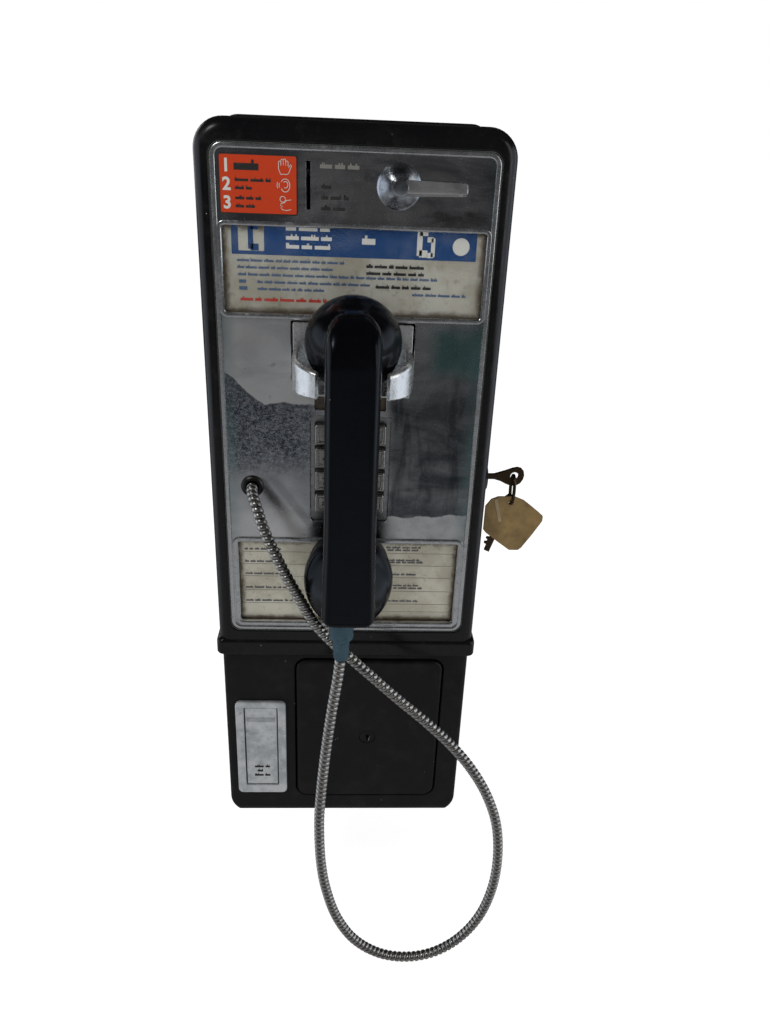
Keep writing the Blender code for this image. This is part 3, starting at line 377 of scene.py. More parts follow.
def bright_chrome(name, tint, plated=1.0, dull=0.0, wear=1.0):
    """Plated trim and castings: brighter than the plate, with fine pitting and grey bloom."""
    f = Finish(name, tint, 0.2, plated)
    cloud = f.noise(0.01, 5.0, 0.6)
    bloom = f.patches((0.5, 0.7), 0.0045, 4.0, 0.65)
    pit = f.specks(0.0022, (0.2, 0.09), 0.0045, 2.0, (0.52, 0.58))
    f.start(cloud, shade(tint, 0.62), shade(tint, 1.18))
    f.paint(shade(tint, 0.8), bloom, 0.4 * wear)
    f.paint(NEAR_BLACK, pit, 0.8 * wear)
    f.rough = f.between(cloud, 0.3, 0.7, 0.1 + dull, 0.24 + dull)
    f.roughen(bloom, 0.2 * wear)
    f.roughen(pit, 0.4 * wear)
    height = f.less(f.noise(0.0016, 3.0), f.times(pit, 1.5))
    return f.done(f.bump(height, 0.00003 * wear, f.bump(cloud, 0.0003 * wear)))


def satin_zinc():
    """Die-cast zinc with a dull plating, dings and small dark pits."""
    f = Finish("satin_zinc", (0.52, 0.52, 0.51), 0.4, 0.55)
    grain = f.noise(0.001, 3.0, 0.6)
    pit = f.specks(0.003, (0.15, 0.07), 0.006, 2.0, (0.5, 0.58))
    f.start(f.patches((0.35, 0.65), 0.012, 5.0, 0.6), (0.4, 0.43, 0.45), (0.62, 0.64, 0.65))
    f.paint((0.2, 0.2, 0.2), f.patches((0.54, 0.7), 0.007, 6.0, 0.7), 0.55)
    f.paint(NEAR_BLACK, pit, 0.8)
    f.rough = f.between(grain, 0.3, 0.7, 0.34, 0.48)
    return f.done(f.bump(f.less(grain, f.times(pit, 2.0)), 0.00004))


def pressed_steel(name, tint, rust):
    """Bare or zinc-plated sheet, brushed along its length, with a little rust."""
    f = Finish(name, tint, 0.38, 1.0)
    brushed = f.stretched(0.0012, (1.0, 1.0, 0.06), detail=3.0)
    spots = f.patches((0.56, 0.7), 0.009, 6.0, 0.7)
    f.start(f.noise(0.02, 5.0, 0.6), shade(tint, 0.8), shade(tint, 1.2))
    f.paint((0.16, 0.075, 0.035), spots, rust)
    f.rough = f.between(brushed, 0.3, 0.7, 0.28, 0.46)
    f.roughen(spots, 0.25)
    return f.done(f.bump(brushed, 0.00003))


def armour_steel():
    """Interlocked strip, bright on its ridges, with painted shade in the grooves between them."""
    f = Finish("armour_steel", (0.46, 0.45, 0.42), 0.38, 1.0)
    groove = f.add("ShaderNodeAttribute", attribute_name="groove").outputs["Fac"]
    grain = f.noise(0.0009, 3.0, 0.6)
    f.start(f.noise(0.02, 5.0, 0.65), (0.4, 0.385, 0.355), (0.62, 0.6, 0.56))
    f.paint((0.2, 0.18, 0.155), f.patches((0.52, 0.72), 0.003, 4.0, 0.7), 0.35)
    # Painted shade: near black down in the grooves.
    f.paint((0.012, 0.01, 0.009), f.between(groove, 0.2, 0.85))
    f.rough = f.between(grain, 0.3, 0.7, 0.24, 0.36)
    f.roughen(groove, 0.4)
    return f.done(f.bump(grain, 0.00002))


def handset_plastic():
    """Moulded thermoplastic, polished by hands, with hairlines and dust."""
    f = Finish("handset_plastic", (0.002, 0.0022, 0.0032), 0.2, Specular_IOR_Level=0.2,
               Specular_Tint=(0.8, 0.88, 1.0, 1.0))
    cloud = f.noise(0.025, 5.0, 0.6)
    hair = f.strokes((0.7, 0.76), 0.003, (1.0, 1.0, 20.0), (0.3, 0.5, 0.0))
    f.start(cloud, (0.001, 0.0011, 0.0018), (0.0022, 0.0023, 0.0031))
    f.paint((0.2, 0.2, 0.22), hair, 0.04)
    f.paint((0.22, 0.22, 0.22), f.specks(0.006, (0.055, 0.03), 0.011, 1.0, (0.58, 0.64)))
    f.rough = f.between(cloud, 0.3, 0.7, 0.15, 0.24)
    f.roughen(f.patches((0.46, 0.7), 0.01, 6.0, 0.7, distortion=0.8), 0.1)
    return f.done(f.bump(f.noise(0.0016, 3.0), 0.00002, f.bump(cloud, 0.0002)))


def boot_rubber():
    """Blue-grey rubber, chalky where it flexes."""
    f = Finish("boot_rubber", (0.035, 0.095, 0.13), 0.5, Specular_IOR_Level=0.4)
    cloud = f.noise(0.006, 5.0, 0.65)
    f.start(cloud, (0.01, 0.036, 0.056), (0.026, 0.07, 0.096))
    f.paint((0.09, 0.125, 0.145), f.patches((0.52, 0.72), 0.003, 5.0, 0.7), 0.3)
    f.rough = f.between(cloud, 0.3, 0.7, 0.4, 0.6)
    return f.done(f.bump(f.noise(0.0008, 3.0), 0.00005))


def aged_card(name, pale, dark, seen):
    """Printed card behind its window: yellowed and foxed, with a painted shadow round the edges of what is
    seen.
    """
    f = Finish(name, pale, 0.8, Specular_IOR_Level=0.2)
    fibre = f.noise(0.0007, 4.0, 0.6)
    f.start(f.patches((0.35, 0.62), 0.03, 5.0, 0.6), dark, pale)
    f.paint(shade(dark, 0.45), f.patches((0.54, 0.7), 0.005, 6.0, 0.72), 0.5)
    f.paint(shade(dark, 0.7), fibre, 0.16)
    # Painted shadow along the edges of what the window shows, a little uneven.
    x, _, z = f.axes(f.place)
    x0, x1, z0, z1 = seen
    beside = f.calc("MINIMUM", f.less(x, x0), f.less(x1, x))
    inside = f.calc("MINIMUM", beside, f.calc("MINIMUM", f.less(z, z0), f.less(z1, z)))
    rim = f.plus(inside, f.times(f.less(f.noise(0.007, 5.0, 0.7), 0.5), 0.006))
    f.paint((0.075, 0.055, 0.035), f.between(rim, 0.0045, 0.0))
    f.rough = f.between(fibre, 0.3, 0.7, 0.7, 0.88)
    return f.done(f.bump(fibre, 0.00003))


def ink(name, colour, worn=0.25, rough=0.6):
    """Printed ink, faded unevenly."""
    f = Finish(name, colour, rough, Specular_IOR_Level=0.25)
    fine = f.noise(0.0006, 3.0)
    faded = tuple(0.7 * value + 0.1 for value in colour)
    f.start(f.times(f.patches((0.48, 0.72), 0.004, 6.0, 0.7), worn), colour, faded)
    f.paint(shade(colour, 0.6), f.between(fine, 0.55, 0.7), 0.3)
    f.rough = f.between(fine, 0.3, 0.7, rough - 0.08, rough + 0.12)
    return f.done(f.bump(fine, 0.00002))


def clear_sheet():
    """Thin polycarbonate over a card, hazed and finely scratched."""
    tint = (0.7, 0.72, 0.7)
    f = Finish("clear_sheet", tint, 0.12, Specular_IOR_Level=0.5, IOR=1.5)
    haze = f.noise(0.015, 5.0, 0.65)
    scratch = f.strokes((0.68, 0.74), 0.003, (18.0, 1.0, 1.0), (0.0, 0.9, 0.0))
    f.put(f.plus(f.between(haze, 0.35, 0.75, 0.0, 0.03), f.times(scratch, 0.08)), f.shader.inputs["Alpha"])
    f.colour = tint
    f.rough = f.between(haze, 0.3, 0.7, 0.1, 0.26)
    f.roughen(scratch, 0.2)
    return f.done(f.bump(haze, 0.0001))


def tag_fibre():
    """Varnished fibre tag, browned in patches."""
    f = Finish("tag_fibre", (0.2, 0.125, 0.045), 0.5, Specular_IOR_Level=0.35)
    cloud = f.noise(0.014, 5.0, 0.6)
    fibre = f.stretched(0.0009, (1.0, 1.0, 0.2), detail=4.0)
    f.start(f.between(cloud, 0.2, 0.8), (0.13, 0.08, 0.024), (0.26, 0.17, 0.06))
    f.paint((0.075, 0.045, 0.018), f.patches((0.52, 0.72), 0.006, 6.0, 0.7), 0.4)
    f.paint((0.13, 0.082, 0.035), fibre, 0.2)
    f.rough = f.between(cloud, 0.3, 0.7, 0.42, 0.6)
    return f.done(f.bump(fibre, 0.00004))


def moulding(name, colour, rough=0.45):
    """Plain moulded plastic, phenolic or rubber."""
    f = Finish(name, colour, rough, Specular_IOR_Level=0.4)
    cloud = f.noise(0.012, 5.0, 0.6)
    f.start(cloud, shade(colour, 0.75), shade(colour, 1.35))
    f.paint((0.16, 0.15, 0.13), f.patches((0.52, 0.75), 0.008, 6.0, 0.7), 0.25)
    f.rough = f.between(cloud, 0.3, 0.7, rough - 0.08, rough + 0.12)
    return f.done(f.bump(f.noise(0.0009, 3.0), 0.00005))


def copper_winding():
    """Enamelled wire wound in close turns."""
    f = Finish("copper_winding", (0.5, 0.2, 0.08), 0.35, 1.0)
    wave = f.add("ShaderNodeTexWave", wave_type="BANDS", bands_direction="Z")
    f.put(f.place, wave.inputs["Vector"])
    wave.inputs["Scale"].default_value = 420.0
    turns = wave.outputs["Fac"]
    cloud = f.noise(0.006, 4.0)
    f.start(turns, (0.2, 0.07, 0.028), (0.6, 0.26, 0.11))
    f.paint((0.22, 0.09, 0.04), cloud, 0.3)
    f.rough = f.between(cloud, 0.3, 0.7, 0.28, 0.45)
    return f.done(f.bump(turns, 0.0002))


ENAMEL = black_enamel()
WRINKLE = black_wrinkle()
PLATE_CHROME = worn_chrome_and_reflection()
CHROME = bright_chrome("bright_chrome", (0.7, 0.71, 0.72), 0.95, 0.03, 0.7)
CRADLE_CHROME = bright_chrome("cradle_chrome", (0.84, 0.84, 0.83), 0.88, 0.06)
DOME_CHROME = bright_chrome("dome_chrome", (0.54, 0.57, 0.61), 1.0, 0.04, 0.3)
FRAME_CHROME = bright_chrome("frame_chrome", (0.44, 0.45, 0.45), 1.0, 0.08, 0.6)
LEVER_CHROME = bright_chrome("lever_chrome", (0.52, 0.52, 0.52), 0.88, 0.16, 0.5)
KEY_CHROME = bright_chrome("key_chrome", (0.46, 0.45, 0.42), 1.0, 0.08)
ZINC = satin_zinc()
DARK_STEEL = pressed_steel("dark_steel", (0.06, 0.058, 0.056), 0.4)
GALVANISED = pressed_steel("galvanised", (0.5, 0.51, 0.52), 0.12)
BRASS = pressed_steel("brass", (0.55, 0.38, 0.15), 0.1)
BRONZE = pressed_steel("key_bronze", (0.09, 0.062, 0.038), 0.3)
ARMOUR = armour_steel()
COPPER = copper_winding()
HANDSET = handset_plastic()
BOOT = boot_rubber()
CARD = aged_card("aged_card", (0.385, 0.38, 0.33), (0.265, 0.25, 0.2), UPPER_WINDOW)
RATE_CARD = aged_card("rate_card", (0.48, 0.465, 0.39), (0.35, 0.33, 0.265), LOWER_WINDOW)
NUMBER_CARD = aged_card("number_card", (0.06, 0.054, 0.044), (0.034, 0.031, 0.027), NUMBER_WINDOW)
CLEAR = clear_sheet()
TAG = tag_fibre()
TAG_PALE = moulding("tag_pale_strip", (0.24, 0.185, 0.1), 0.6)
PHENOLIC = moulding("moulded_black", (0.022, 0.02, 0.018))
SEAL = moulding("gasket_grey", (0.04, 0.045, 0.04), 0.6)
ORANGE = ink("placard_orange", (0.45, 0.032, 0.001), 0.02, 0.5)
INK_BLACK = ink("ink_black", (0.02, 0.019, 0.018), 0.2)
INK_BLUE = ink("ink_blue", (0.004, 0.042, 0.15), 0.02)
INK_TEXT_BLUE = ink("ink_text_blue", (0.06, 0.095, 0.17), 0.15)
INK_RED = ink("ink_red", (0.36, 0.03, 0.018), 0.12)
INK_WHITE = ink("ink_white", (0.5, 0.5, 0.47), 0.1)
# Near black that stands for the shade inside the vault keyhole, which is not cut.
KEYHOLE_SHADE = ink("keyhole_painted_shade", (0.0006, 0.0006, 0.0006), 0.0, 0.9)
INK_SLATE = ink("ink_slate", (0.085, 0.085, 0.09), 0.2)
INK_GREY = ink("ink_grey", (0.15, 0.145, 0.13), 0.2)


# --- mesh helpers -----------------------------------------------------------------------------
SMOOTH_ANGLE = 32.0             # degrees; edges sharper than this stay crisp


def smooth(mesh, angle):
    mesh.shade_smooth()
    mesh.set_sharp_from_angle(angle=math.radians(angle))


def make_object(name, shape, finish, angle=SMOOTH_ANGLE, weighted=True):
    """Turn a bmesh into an object that is smooth below an angle."""
    bmesh.ops.recalc_face_normals(shape, faces=shape.faces)
    mesh = bpy.data.meshes.new(name)
    shape.to_mesh(mesh)
    shape.free()
    smooth(mesh, angle)
    item = bpy.data.objects.new(name, mesh)
    mesh.materials.append(finish)
    SCENE.collection.objects.link(item)
    if weighted:
        item.modifiers.new("Even", "WEIGHTED_NORMAL").keep_sharp = True
    return item


def evaluated_mesh(item):
    SCENE.view_layers[0].update()
    graph = bpy.context.evaluated_depsgraph_get()
    return bpy.data.meshes.new_from_object(item.evaluated_get(graph))


def bake(item, angle):
    """Replace an object's mesh by the one its modifiers make."""
    mesh = evaluated_mesh(item)
    old = item.data
    item.modifiers.clear()
    item.data = mesh
    mesh.name = old.name
    bpy.data.meshes.remove(old)
    smooth(mesh, angle)


def combine(item, shapes, operation, angle=SMOOTH_ANGLE):
    """Cut shapes out of an object, or weld them to it, and bake the result."""
    tools = []
    for index, shape in enumerate(shapes):
        tool = make_object(f"tool_{index}", shape, None, weighted=False)
        step = item.modifiers.new(tool.name, "BOOLEAN")
        step.operation = operation
        step.object = tool
        step.solver = "EXACT"
        tools.append(tool)
    for modifier in [m for m in item.modifiers if m.type == "WEIGHTED_NORMAL"]:
        item.modifiers.remove(modifier)
    bake(item, angle)
    for tool in tools:
        bpy.data.objects.remove(tool, do_unlink=True)
    item.modifiers.new("Even", "WEIGHTED_NORMAL").keep_sharp = True


def cut(item, *shapes, angle=SMOOTH_ANGLE):
    combine(item, shapes, "DIFFERENCE", angle)


def weld(item, *shapes):
    combine(item, shapes, "UNION")


def attach(item, body, slot, *nodes):
    """Let a piece ride on a body and stand for CAD nodes, which it hides; its finish slot is not used."""
    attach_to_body(item, body)
    if nodes:
        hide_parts(*nodes)


def piece(name, shape, finish, body, slot, *nodes, cuts=(), angle=SMOOTH_ANGLE, weighted=True):
    """A visible piece made in one go, with shapes cut out of it."""
    item = make_object(name, shape, finish, angle, weighted)
    if cuts:
        cut(item, *cuts)
    attach(item, body, slot, *nodes)


def round_rect(extent, radius, steps=6):
    """(x, z) points round a rectangle with round corners, anticlockwise seen from the front."""
    x0, x1, z0, z1 = extent
    radii = radius if isinstance(radius, tuple) else (radius,) * 4
    corners = ((x1, z0, -1, 1, -90.0), (x1, z1, -1, -1, 0.0), (x0, z1, 1, -1, 90.0), (x0, z0, 1, 1, 180.0))
    points = []
    for (x, z, way_x, way_z, start), r in zip(corners, radii):
        for step in range(steps + 1):
            angle = math.radians(start + 90.0 * step / steps)
            points.append((x + way_x * r + r * math.cos(angle), z + way_z * r + r * math.sin(angle)))
    return points


def ring(extent, radius, y, steps=6):
    return [Vector((x, y, z)) for x, z in round_rect(extent, radius, steps)]


def circle(radius, height, sides):
    turns = [2.0 * math.pi * s / sides for s in range(sides)]
    return [Vector((radius * math.cos(a), radius * math.sin(a), height)) for a in turns]


def loft(rings, closed=False):
    """Skin rings of points with the same count, with an end face on the first and last unless closed."""
    shape = bmesh.new()
    rows = [[shape.verts.new(point) for point in points] for points in rings]
    pairs = list(zip(rows, rows[1:]))
    if closed:
        pairs.append((rows[-1], rows[0]))
    for first, second in pairs:
        count = len(first)
        for index in range(count):
            after = (index + 1) % count
            shape.faces.new((first[index], first[after], second[after], second[index]))
    if not closed:
        shape.faces.new(list(reversed(rows[0])))
        shape.faces.new(rows[-1])
    return shape


LEAST_RADIUS = 0.0003
FLAT_RIM = 0.0004               # level strip between a panel's round edge and its face
PAST_FACE = 0.004               # how far a cutter runs on in front of the face it cuts


def shrink_radius(radius, inset):
    if isinstance(radius, tuple):
        return tuple(max(LEAST_RADIUS, r - inset) for r in radius)
    return max(LEAST_RADIUS, radius - inset)


def skin(extent, corner, sections, steps=6, closed=False):
    """Skin one outline drawn in by each (inset, y) section."""
    return loft([ring(grown(extent, -inset), shrink_radius(corner, inset), y, steps)
                 for inset, y in sections], closed)


def quarter(turns):
    """Sine and cosine of even steps from 0 to 90 degrees."""
    angles = [math.radians(90.0 * step / turns) for step in range(turns + 1)]
    return [(math.sin(angle), math.cos(angle)) for angle in angles]


def panel(extent, corner, back, front, edge, steps=6, turns=4, back_edge=0.0):
    """A slab facing the front, with a quarter-round front edge and, if asked, a round back edge."""
    sections = [(0.0, back)]
    if back_edge:
        sections = [(back_edge * (1.0 - s), back - back_edge * (1.0 - c)) for s, c in quarter(turns)]
    sections += [(edge * (1.0 - c), front + edge * (1.0 - s)) for s, c in quarter(turns)]
    sections.append((edge + FLAT_RIM, front))
    return skin(extent, corner, sections, steps)


def flared_hole(extent, corner, back, front, lip, steps=6):
    """A cutter for an opening whose front edge is rounded over."""
    sections = [(0.0, back)]
    sections += [(-lip * (1.0 - c), front + lip * (1.0 - s)) for s, c in quarter(4)]
    sections.append((-lip, front - PAST_FACE))
    return skin(extent, corner, sections, steps)


BEZEL_PROFILE = ((0.0, 0.0), (0.0, 0.75), (0.12, 0.93), (0.3, 1.0), (0.7, 1.0), (0.88, 0.93), (1.0, 0.75),
                 (1.0, 0.0))


def bezel(extent, corner, width, back, front):
    """A frame of rounded section round an opening; the extent is its inner edge."""
    sections = [(-across * width, back + (front - back) * height) for across, height in BEZEL_PROFILE]
    return skin(extent, corner, sections, closed=True)


AXIS_TURNS = {
    "x": Matrix.Rotation(math.radians(90.0), 4, "Y"),
    "y": Matrix.Rotation(math.radians(-90.0), 4, "X"),
    "-y": Matrix.Rotation(math.radians(90.0), 4, "X"),
    "z": Matrix.Identity(4),
}


def lathe(profile, axis, centre, sides=48, closed=False):
    """Turn (radius, height) points about an axis; heights run along the axis from the centre."""
    shape = loft([circle(max(radius, 0.00002), height, sides) for radius, height in profile], closed)
    shape.transform(Matrix.Translation(centre) @ AXIS_TURNS[axis])
    return shape


def rod(axis, centre, length, radius, sides=32):
    half = length / 2.0
    return lathe([(radius, -half), (radius, half)], axis, centre, sides)


def soften(shape, edges, edge):
    bmesh.ops.bevel(shape, geom=edges, offset=edge, segments=2, profile=0.5, affect="EDGES",
                    clamp_overlap=True)


def block(low, high, edge=0.0):
    """A rectangular block, its edges rounded if asked."""
    shape = bmesh.new()
    size = [high[i] - low[i] for i in range(3)]
    middle = Matrix.Translation([(high[i] + low[i]) / 2.0 for i in range(3)])
    bmesh.ops.create_cube(shape, size=1.0, matrix=middle @ Matrix.Diagonal((*size, 1.0)))
    if edge:
        soften(shape, shape.edges[:], edge)
    return shape


def prism(outline, axis, start, end, edge=0.0):
    """Extrude a closed outline along an axis: y outlines hold (x, z), x ones (y, z)."""
    ends = []
    for along in (start, end):
        ends.append([Vector((along, a, b) if axis == "x" else (a, along, b)) for a, b in outline])
    shape = loft(ends)
    bmesh.ops.recalc_face_normals(shape, faces=shape.faces)
    if edge:
        least = math.radians(40.0)
        rims = [e for e in shape.edges if len(e.link_faces) == 2 and e.calc_face_angle() > least]
        soften(shape, rims, edge)
    return shape


def merged(*shapes):
    """Several bmeshes in one."""
    whole = bmesh.new()
    for shape in shapes:
        mesh = bpy.data.meshes.new("part")
        shape.to_mesh(mesh)
        shape.free()
        whole.from_mesh(mesh)
        bpy.data.meshes.remove(mesh)
    return whole


def curve_through(points, samples=24):
    """A dense Catmull-Rom curve through the points."""
    nodes = [Vector(p) for p in points]
    nodes = [2 * nodes[0] - nodes[1], *nodes, 2 * nodes[-1] - nodes[-2]]
    dense = []
    for a, b, c, d in zip(nodes, nodes[1:], nodes[2:], nodes[3:]):
        for i in range(samples):
            t = i / samples
            dense.append(0.5 * (2 * b + (c - a) * t + (2 * a - 5 * b + 4 * c - d) * t * t
                                + (3 * b - a - 3 * c + d) * t ** 3))
    dense.append(nodes[-2])
    return dense


def even_points(dense, step):
    """Points at an even spacing along a dense path, ends included, and the path's length."""
    lengths = [0.0]
    for first, second in zip(dense, dense[1:]):
        lengths.append(lengths[-1] + (second - first).length)
    count = max(2, round(lengths[-1] / step))
    result = []
    index = 0
    for k in range(count + 1):
        want = lengths[-1] * k / count
        while index < len(dense) - 2 and lengths[index + 1] < want:
            index += 1
        span = lengths[index + 1] - lengths[index]
        result.append(dense[index].lerp(dense[index + 1], min(1.0, (want - lengths[index]) / span)))
    return result, lengths[-1]


def tube_rings(points, radius_at, sides, closed=False):
    """Rings along a path that don't twist about it; radius_at(step, side) gives each radius."""
    rings = []
    tangent = (points[1] - points[0]).normalized()
    out = tangent.orthogonal().normalized()
    count = len(points)
    for step, point in enumerate(points):
        if closed:
            tangent = (points[(step + 1) % count] - points[step - 1]).normalized()
        else:
            tangent = (points[min(step + 1, count - 1)] - points[max(step - 1, 0)]).normalized()
        out = (out - out.dot(tangent) * tangent).normalized()
        side = tangent.cross(out)
        turns = [2.0 * math.pi * s / sides for s in range(sides)]
        rings.append([point + (out * math.cos(a) + side * math.sin(a)) * radius_at(step, s)
                      for s, a in enumerate(turns)])
    return rings


def wire(points, radius, sides, closed=False):
    return loft(tube_rings(points, lambda step, side: radius, sides, closed), closed)


def clamped(value):
    return min(1.0, max(0.0, value))


# --- armoured cord ------------------------------------------------------------------------------
def make_cord():
    """Interlocked steel strip wound along the cord: a crowned ridge and a narrow groove each turn."""
    pitch = 0.0041
    rows_a_turn = 10
    sides = 18
    groove_depth = 0.0008
    groove_share = 0.18
    crown_height = 0.00012
    path, length = even_points(curve_through(CORD_ROUTE), pitch / rows_a_turn)

    def phase_at(step, side):
        return (step / rows_a_turn + side / sides) % 1.0

    def groove_at(step, side):
        return max(0.0, 1.0 - abs(phase_at(step, side) - 0.5) / groove_share)

    def radius_at(step, side):
        crown = crown_height * math.cos(2.0 * math.pi * phase_at(step, side))
        return CORD_DIAMETER / 2.0 - crown_height + crown - groove_depth * groove_at(step, side) ** 0.7

    cord = make_object("armoured_cord_strip", loft(tube_rings(path, radius_at, sides)), ARMOUR, 70.0, False)
    # Each point's groove depth, which the armour finish paints as shade.
    layer = cord.data.attributes.new("groove", "FLOAT", "POINT")
    for vertex in range(len(cord.data.vertices)):
        layer.data[vertex].value = groove_at(vertex // sides, vertex % sides)
    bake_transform(cord)
    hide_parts("armored_cord")


# --- cover --------------------------------------------------------------------------------------
COVER_WALL = 0.003
COVER_EDGE = 0.008
COVER_RIM_PROUD = 0.0015        # how far the cover's rim stands in front of the faceplate
COVER_CORNER = 0.018
SQUARE = 0.002                  # corner radius where two walls meet almost square
LIP_HALF_W = 0.09735
LIP_PROFILE = ((0.0024, -0.0842), (0.001, -0.085), (0.0002, -0.0862), (0.0, -0.0876), (0.0, -0.0962),
               (0.0004, -0.0974), (0.0012, -0.0982), (0.0024, -0.0985))
LOCK_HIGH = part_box("housing_lock")[1]
LOCK_CENTRE = centre_of("housing_lock")
PLATE_CORNER = 0.0065


def make_cover():
    rim = FACE_Y - COVER_RIM_PROUD
    half = COVER_HIGH.x - 0.00185
    outside = (-half, half, COVER_LOW.z, COVER_HIGH.z)
    corners = (SQUARE, COVER_CORNER, COVER_CORNER, SQUARE)
    shell = make_object("cover_shell", panel(outside, corners, COVER_HIGH.y, rim, COVER_EDGE, 10, 6), ENAMEL)
    lip_rings = []
    for inset, z in LIP_PROFILE:
        plan = (-LIP_HALF_W + inset, LIP_HALF_W - inset, COVER_LOW.y + inset, COVER_HIGH.y)
        lip_rings.append([Vector((x, y, z)) for x, y in round_rect(plan, (0.0045, 0.0005, 0.0005, 0.0045))])
    weld(shell, loft(lip_rings))
    inner = half - COVER_WALL
    cavity = (-inner, inner, COVER_LOW.z - 0.05, COVER_HIGH.z - COVER_WALL)
    round_inside = COVER_CORNER - COVER_WALL
    inside_corners = (SQUARE, round_inside, round_inside, SQUARE)
    hollow = loft([ring(cavity, inside_corners, y, 8) for y in (0.02, rim + 0.0075)])
    opening = flared_hole(grown(PLATE, 0.0003), PLATE_CORNER, FACE_Y + 0.03, rim, 0.0011)
    side_hole = rod("x", (half, LOCK_CENTRE.y, LOCK_CENTRE.z), 0.02, 0.0103)
    cut(shell, hollow, opening, side_hole)
    attach(shell, "cover", "black_gloss", "upper_housing")
    seal = bezel(grown(PLATE, -0.0002), PLATE_CORNER, 0.0007, FACE_Y + 0.001, FACE_Y - 0.0012)
    piece("faceplate_seal", seal, SEAL, "cover", "black_matte")


def make_front_plate():
    openings = ((UPPER_WINDOW, 0.002, 0.0006), (LOWER_WINDOW, 0.0018, 0.0006), (NUMBER_WINDOW, 0.001, 0.0004),
                (KEYPAD_OPENING, 0.002, 0.0006), (HOOK_OPENING, 0.0014, 0.0006), (COIN_SLOT, 0.0009, 0.0001))
    holes = [flared_hole(extent, corner, PLATE_BACK + 0.004, FACE_Y, lip) for extent, corner, lip in openings]
    cord_hole = centre_of("cord_grommet")
    # The cord's hole, the release shaft's and a small dimple below them.
    holes.append(rod("y", (cord_hole.x, FACE_Y, cord_hole.z), 0.02, 0.0062))
    holes.append(rod("y", (RELEASE.x, FACE_Y, RELEASE.z), 0.02, 0.004))
    holes.append(rod("y", (-0.0003, FACE_Y, 0.2123), 0.0016, 0.0009, 16))
    plate = panel(PLATE, PLATE_CORNER, PLATE_BACK, FACE_Y, 0.0005)
    piece("front_plate", plate, PLATE_CHROME, "cover", "chrome_plate", "faceplate", cuts=holes)
    for name, extent, corner, width, proud in (
            ("front_plate_rim", grown(PLATE, -0.0032), 0.0045, 0.003, 0.0011),
            ("upper_window_bezel", grown(UPPER_WINDOW, 0.0003), 0.0022, 0.0026, 0.0011),
            ("lower_window_bezel", grown(LOWER_WINDOW, 0.0003), 0.002, 0.0036, 0.001)):
        trim = bezel(extent, corner, width, FACE_Y + 0.0004, FACE_Y - proud)
        piece(name, trim, CHROME, "cover", "chrome_plate")


# --- print --------------------------------------------------------------------------------------
def flakes(name, rects, y, finish, body="cover", slot="card", thick=0.00008):
    """Thin printed marks: (x0, x1, z0, z1) rectangles standing just off a face."""
    shape = bmesh.new()
    for x0, x1, z0, z1 in rects:
        middle = Vector(((x0 + x1) / 2.0, y - thick / 2.0, (z0 + z1) / 2.0))
        size = Matrix.Diagonal((x1 - x0, thick, z1 - z0, 1.0))
        bmesh.ops.create_cube(shape, size=1.0, matrix=Matrix.Translation(middle) @ size)
    piece(name, shape, finish, body, slot, weighted=False)


# Shares of a text row's height: the top of its words, the top of its capitals and a capital's width.
WORD_TOP = 0.62
CAPITAL_TOP = 0.95
CAPITAL_WIDTH = 0.26


def text_row(x0, x1, z, height, seed):
    """A row of solid word-long blocks that stand for print, from x0 to x1 on the base line z."""
    draw = random.Random(seed)
    rects = []
    x = x0
    while x < x1 - height:
        end = min(x1, x + height * draw.uniform(1.2, 3.6))
        rects.append((x, end, z, z + WORD_TOP * height))
        # A few taller pieces break up the top edge, as capitals and stems do.
        for _ in range(draw.randint(1, 2)):
            left = draw.uniform(x, end - 0.3 * height)
            right = left + CAPITAL_WIDTH * height
            rects.append((left, right, z + WORD_TOP * height, z + CAPITAL_TOP * height))
        x = end + height * draw.uniform(0.4, 0.55)
    return rects


def text_rows(height, *rows):
    """Rows of one height: (x0, x1, z, seed) each."""
    return [rect for x0, x1, z, seed in rows for rect in text_row(x0, x1, z, height, seed)]


def numeral(body, size, centre, thick, weight):
    """A figure facing the front, its middle at the centre."""
    curve = bpy.data.curves.new("figure", "FONT")
    curve.body = body
    curve.size = size
    curve.align_x = "CENTER"
    curve.align_y = "CENTER"
    curve.extrude = thick
    curve.offset = weight
    item = bpy.data.objects.new("figure", curve)
    SCENE.collection.objects.link(item)
    mesh = evaluated_mesh(item)
    bpy.data.objects.remove(item, do_unlink=True)
    shape = bmesh.new()
    shape.from_mesh(mesh)
    bpy.data.meshes.remove(mesh)
    bmesh.ops.remove_doubles(shape, verts=shape.verts, dist=0.000001)
    middle = (Vector([min(v.co[i] for v in shape.verts) for i in range(3)])
              + Vector([max(v.co[i] for v in shape.verts) for i in range(3)])) / 2.0
    upright = Matrix.Rotation(math.radians(90.0), 4, "X")
    shape.transform(Matrix.Translation(centre) @ upright @ Matrix.Translation(-middle))
    return shape


def arc_path(x, z, radius, start, end, steps=14, squeeze=1.0):
    angles = [math.radians(start + (end - start) * i / steps) for i in range(steps + 1)]
    return [(x + radius * squeeze * math.cos(a), z + radius * math.sin(a)) for a in angles]


def handset_icon(x, z, size, flip=1.0):
    """A plain telephone handset seen from its side, as (x0, x1, z0, z1) blocks about a centre."""
    result = []
    for x0, x1, z0, z1 in ((-0.1, 0.12, -0.5, 0.5), (0.0, 0.34, 0.28, 0.56), (0.0, 0.34, -0.56, -0.28)):
        low, high = sorted((flip * x0 * size, flip * x1 * size))
        result.append((x + low, x + high, z + z0 * size, z + z1 * size))
    return result


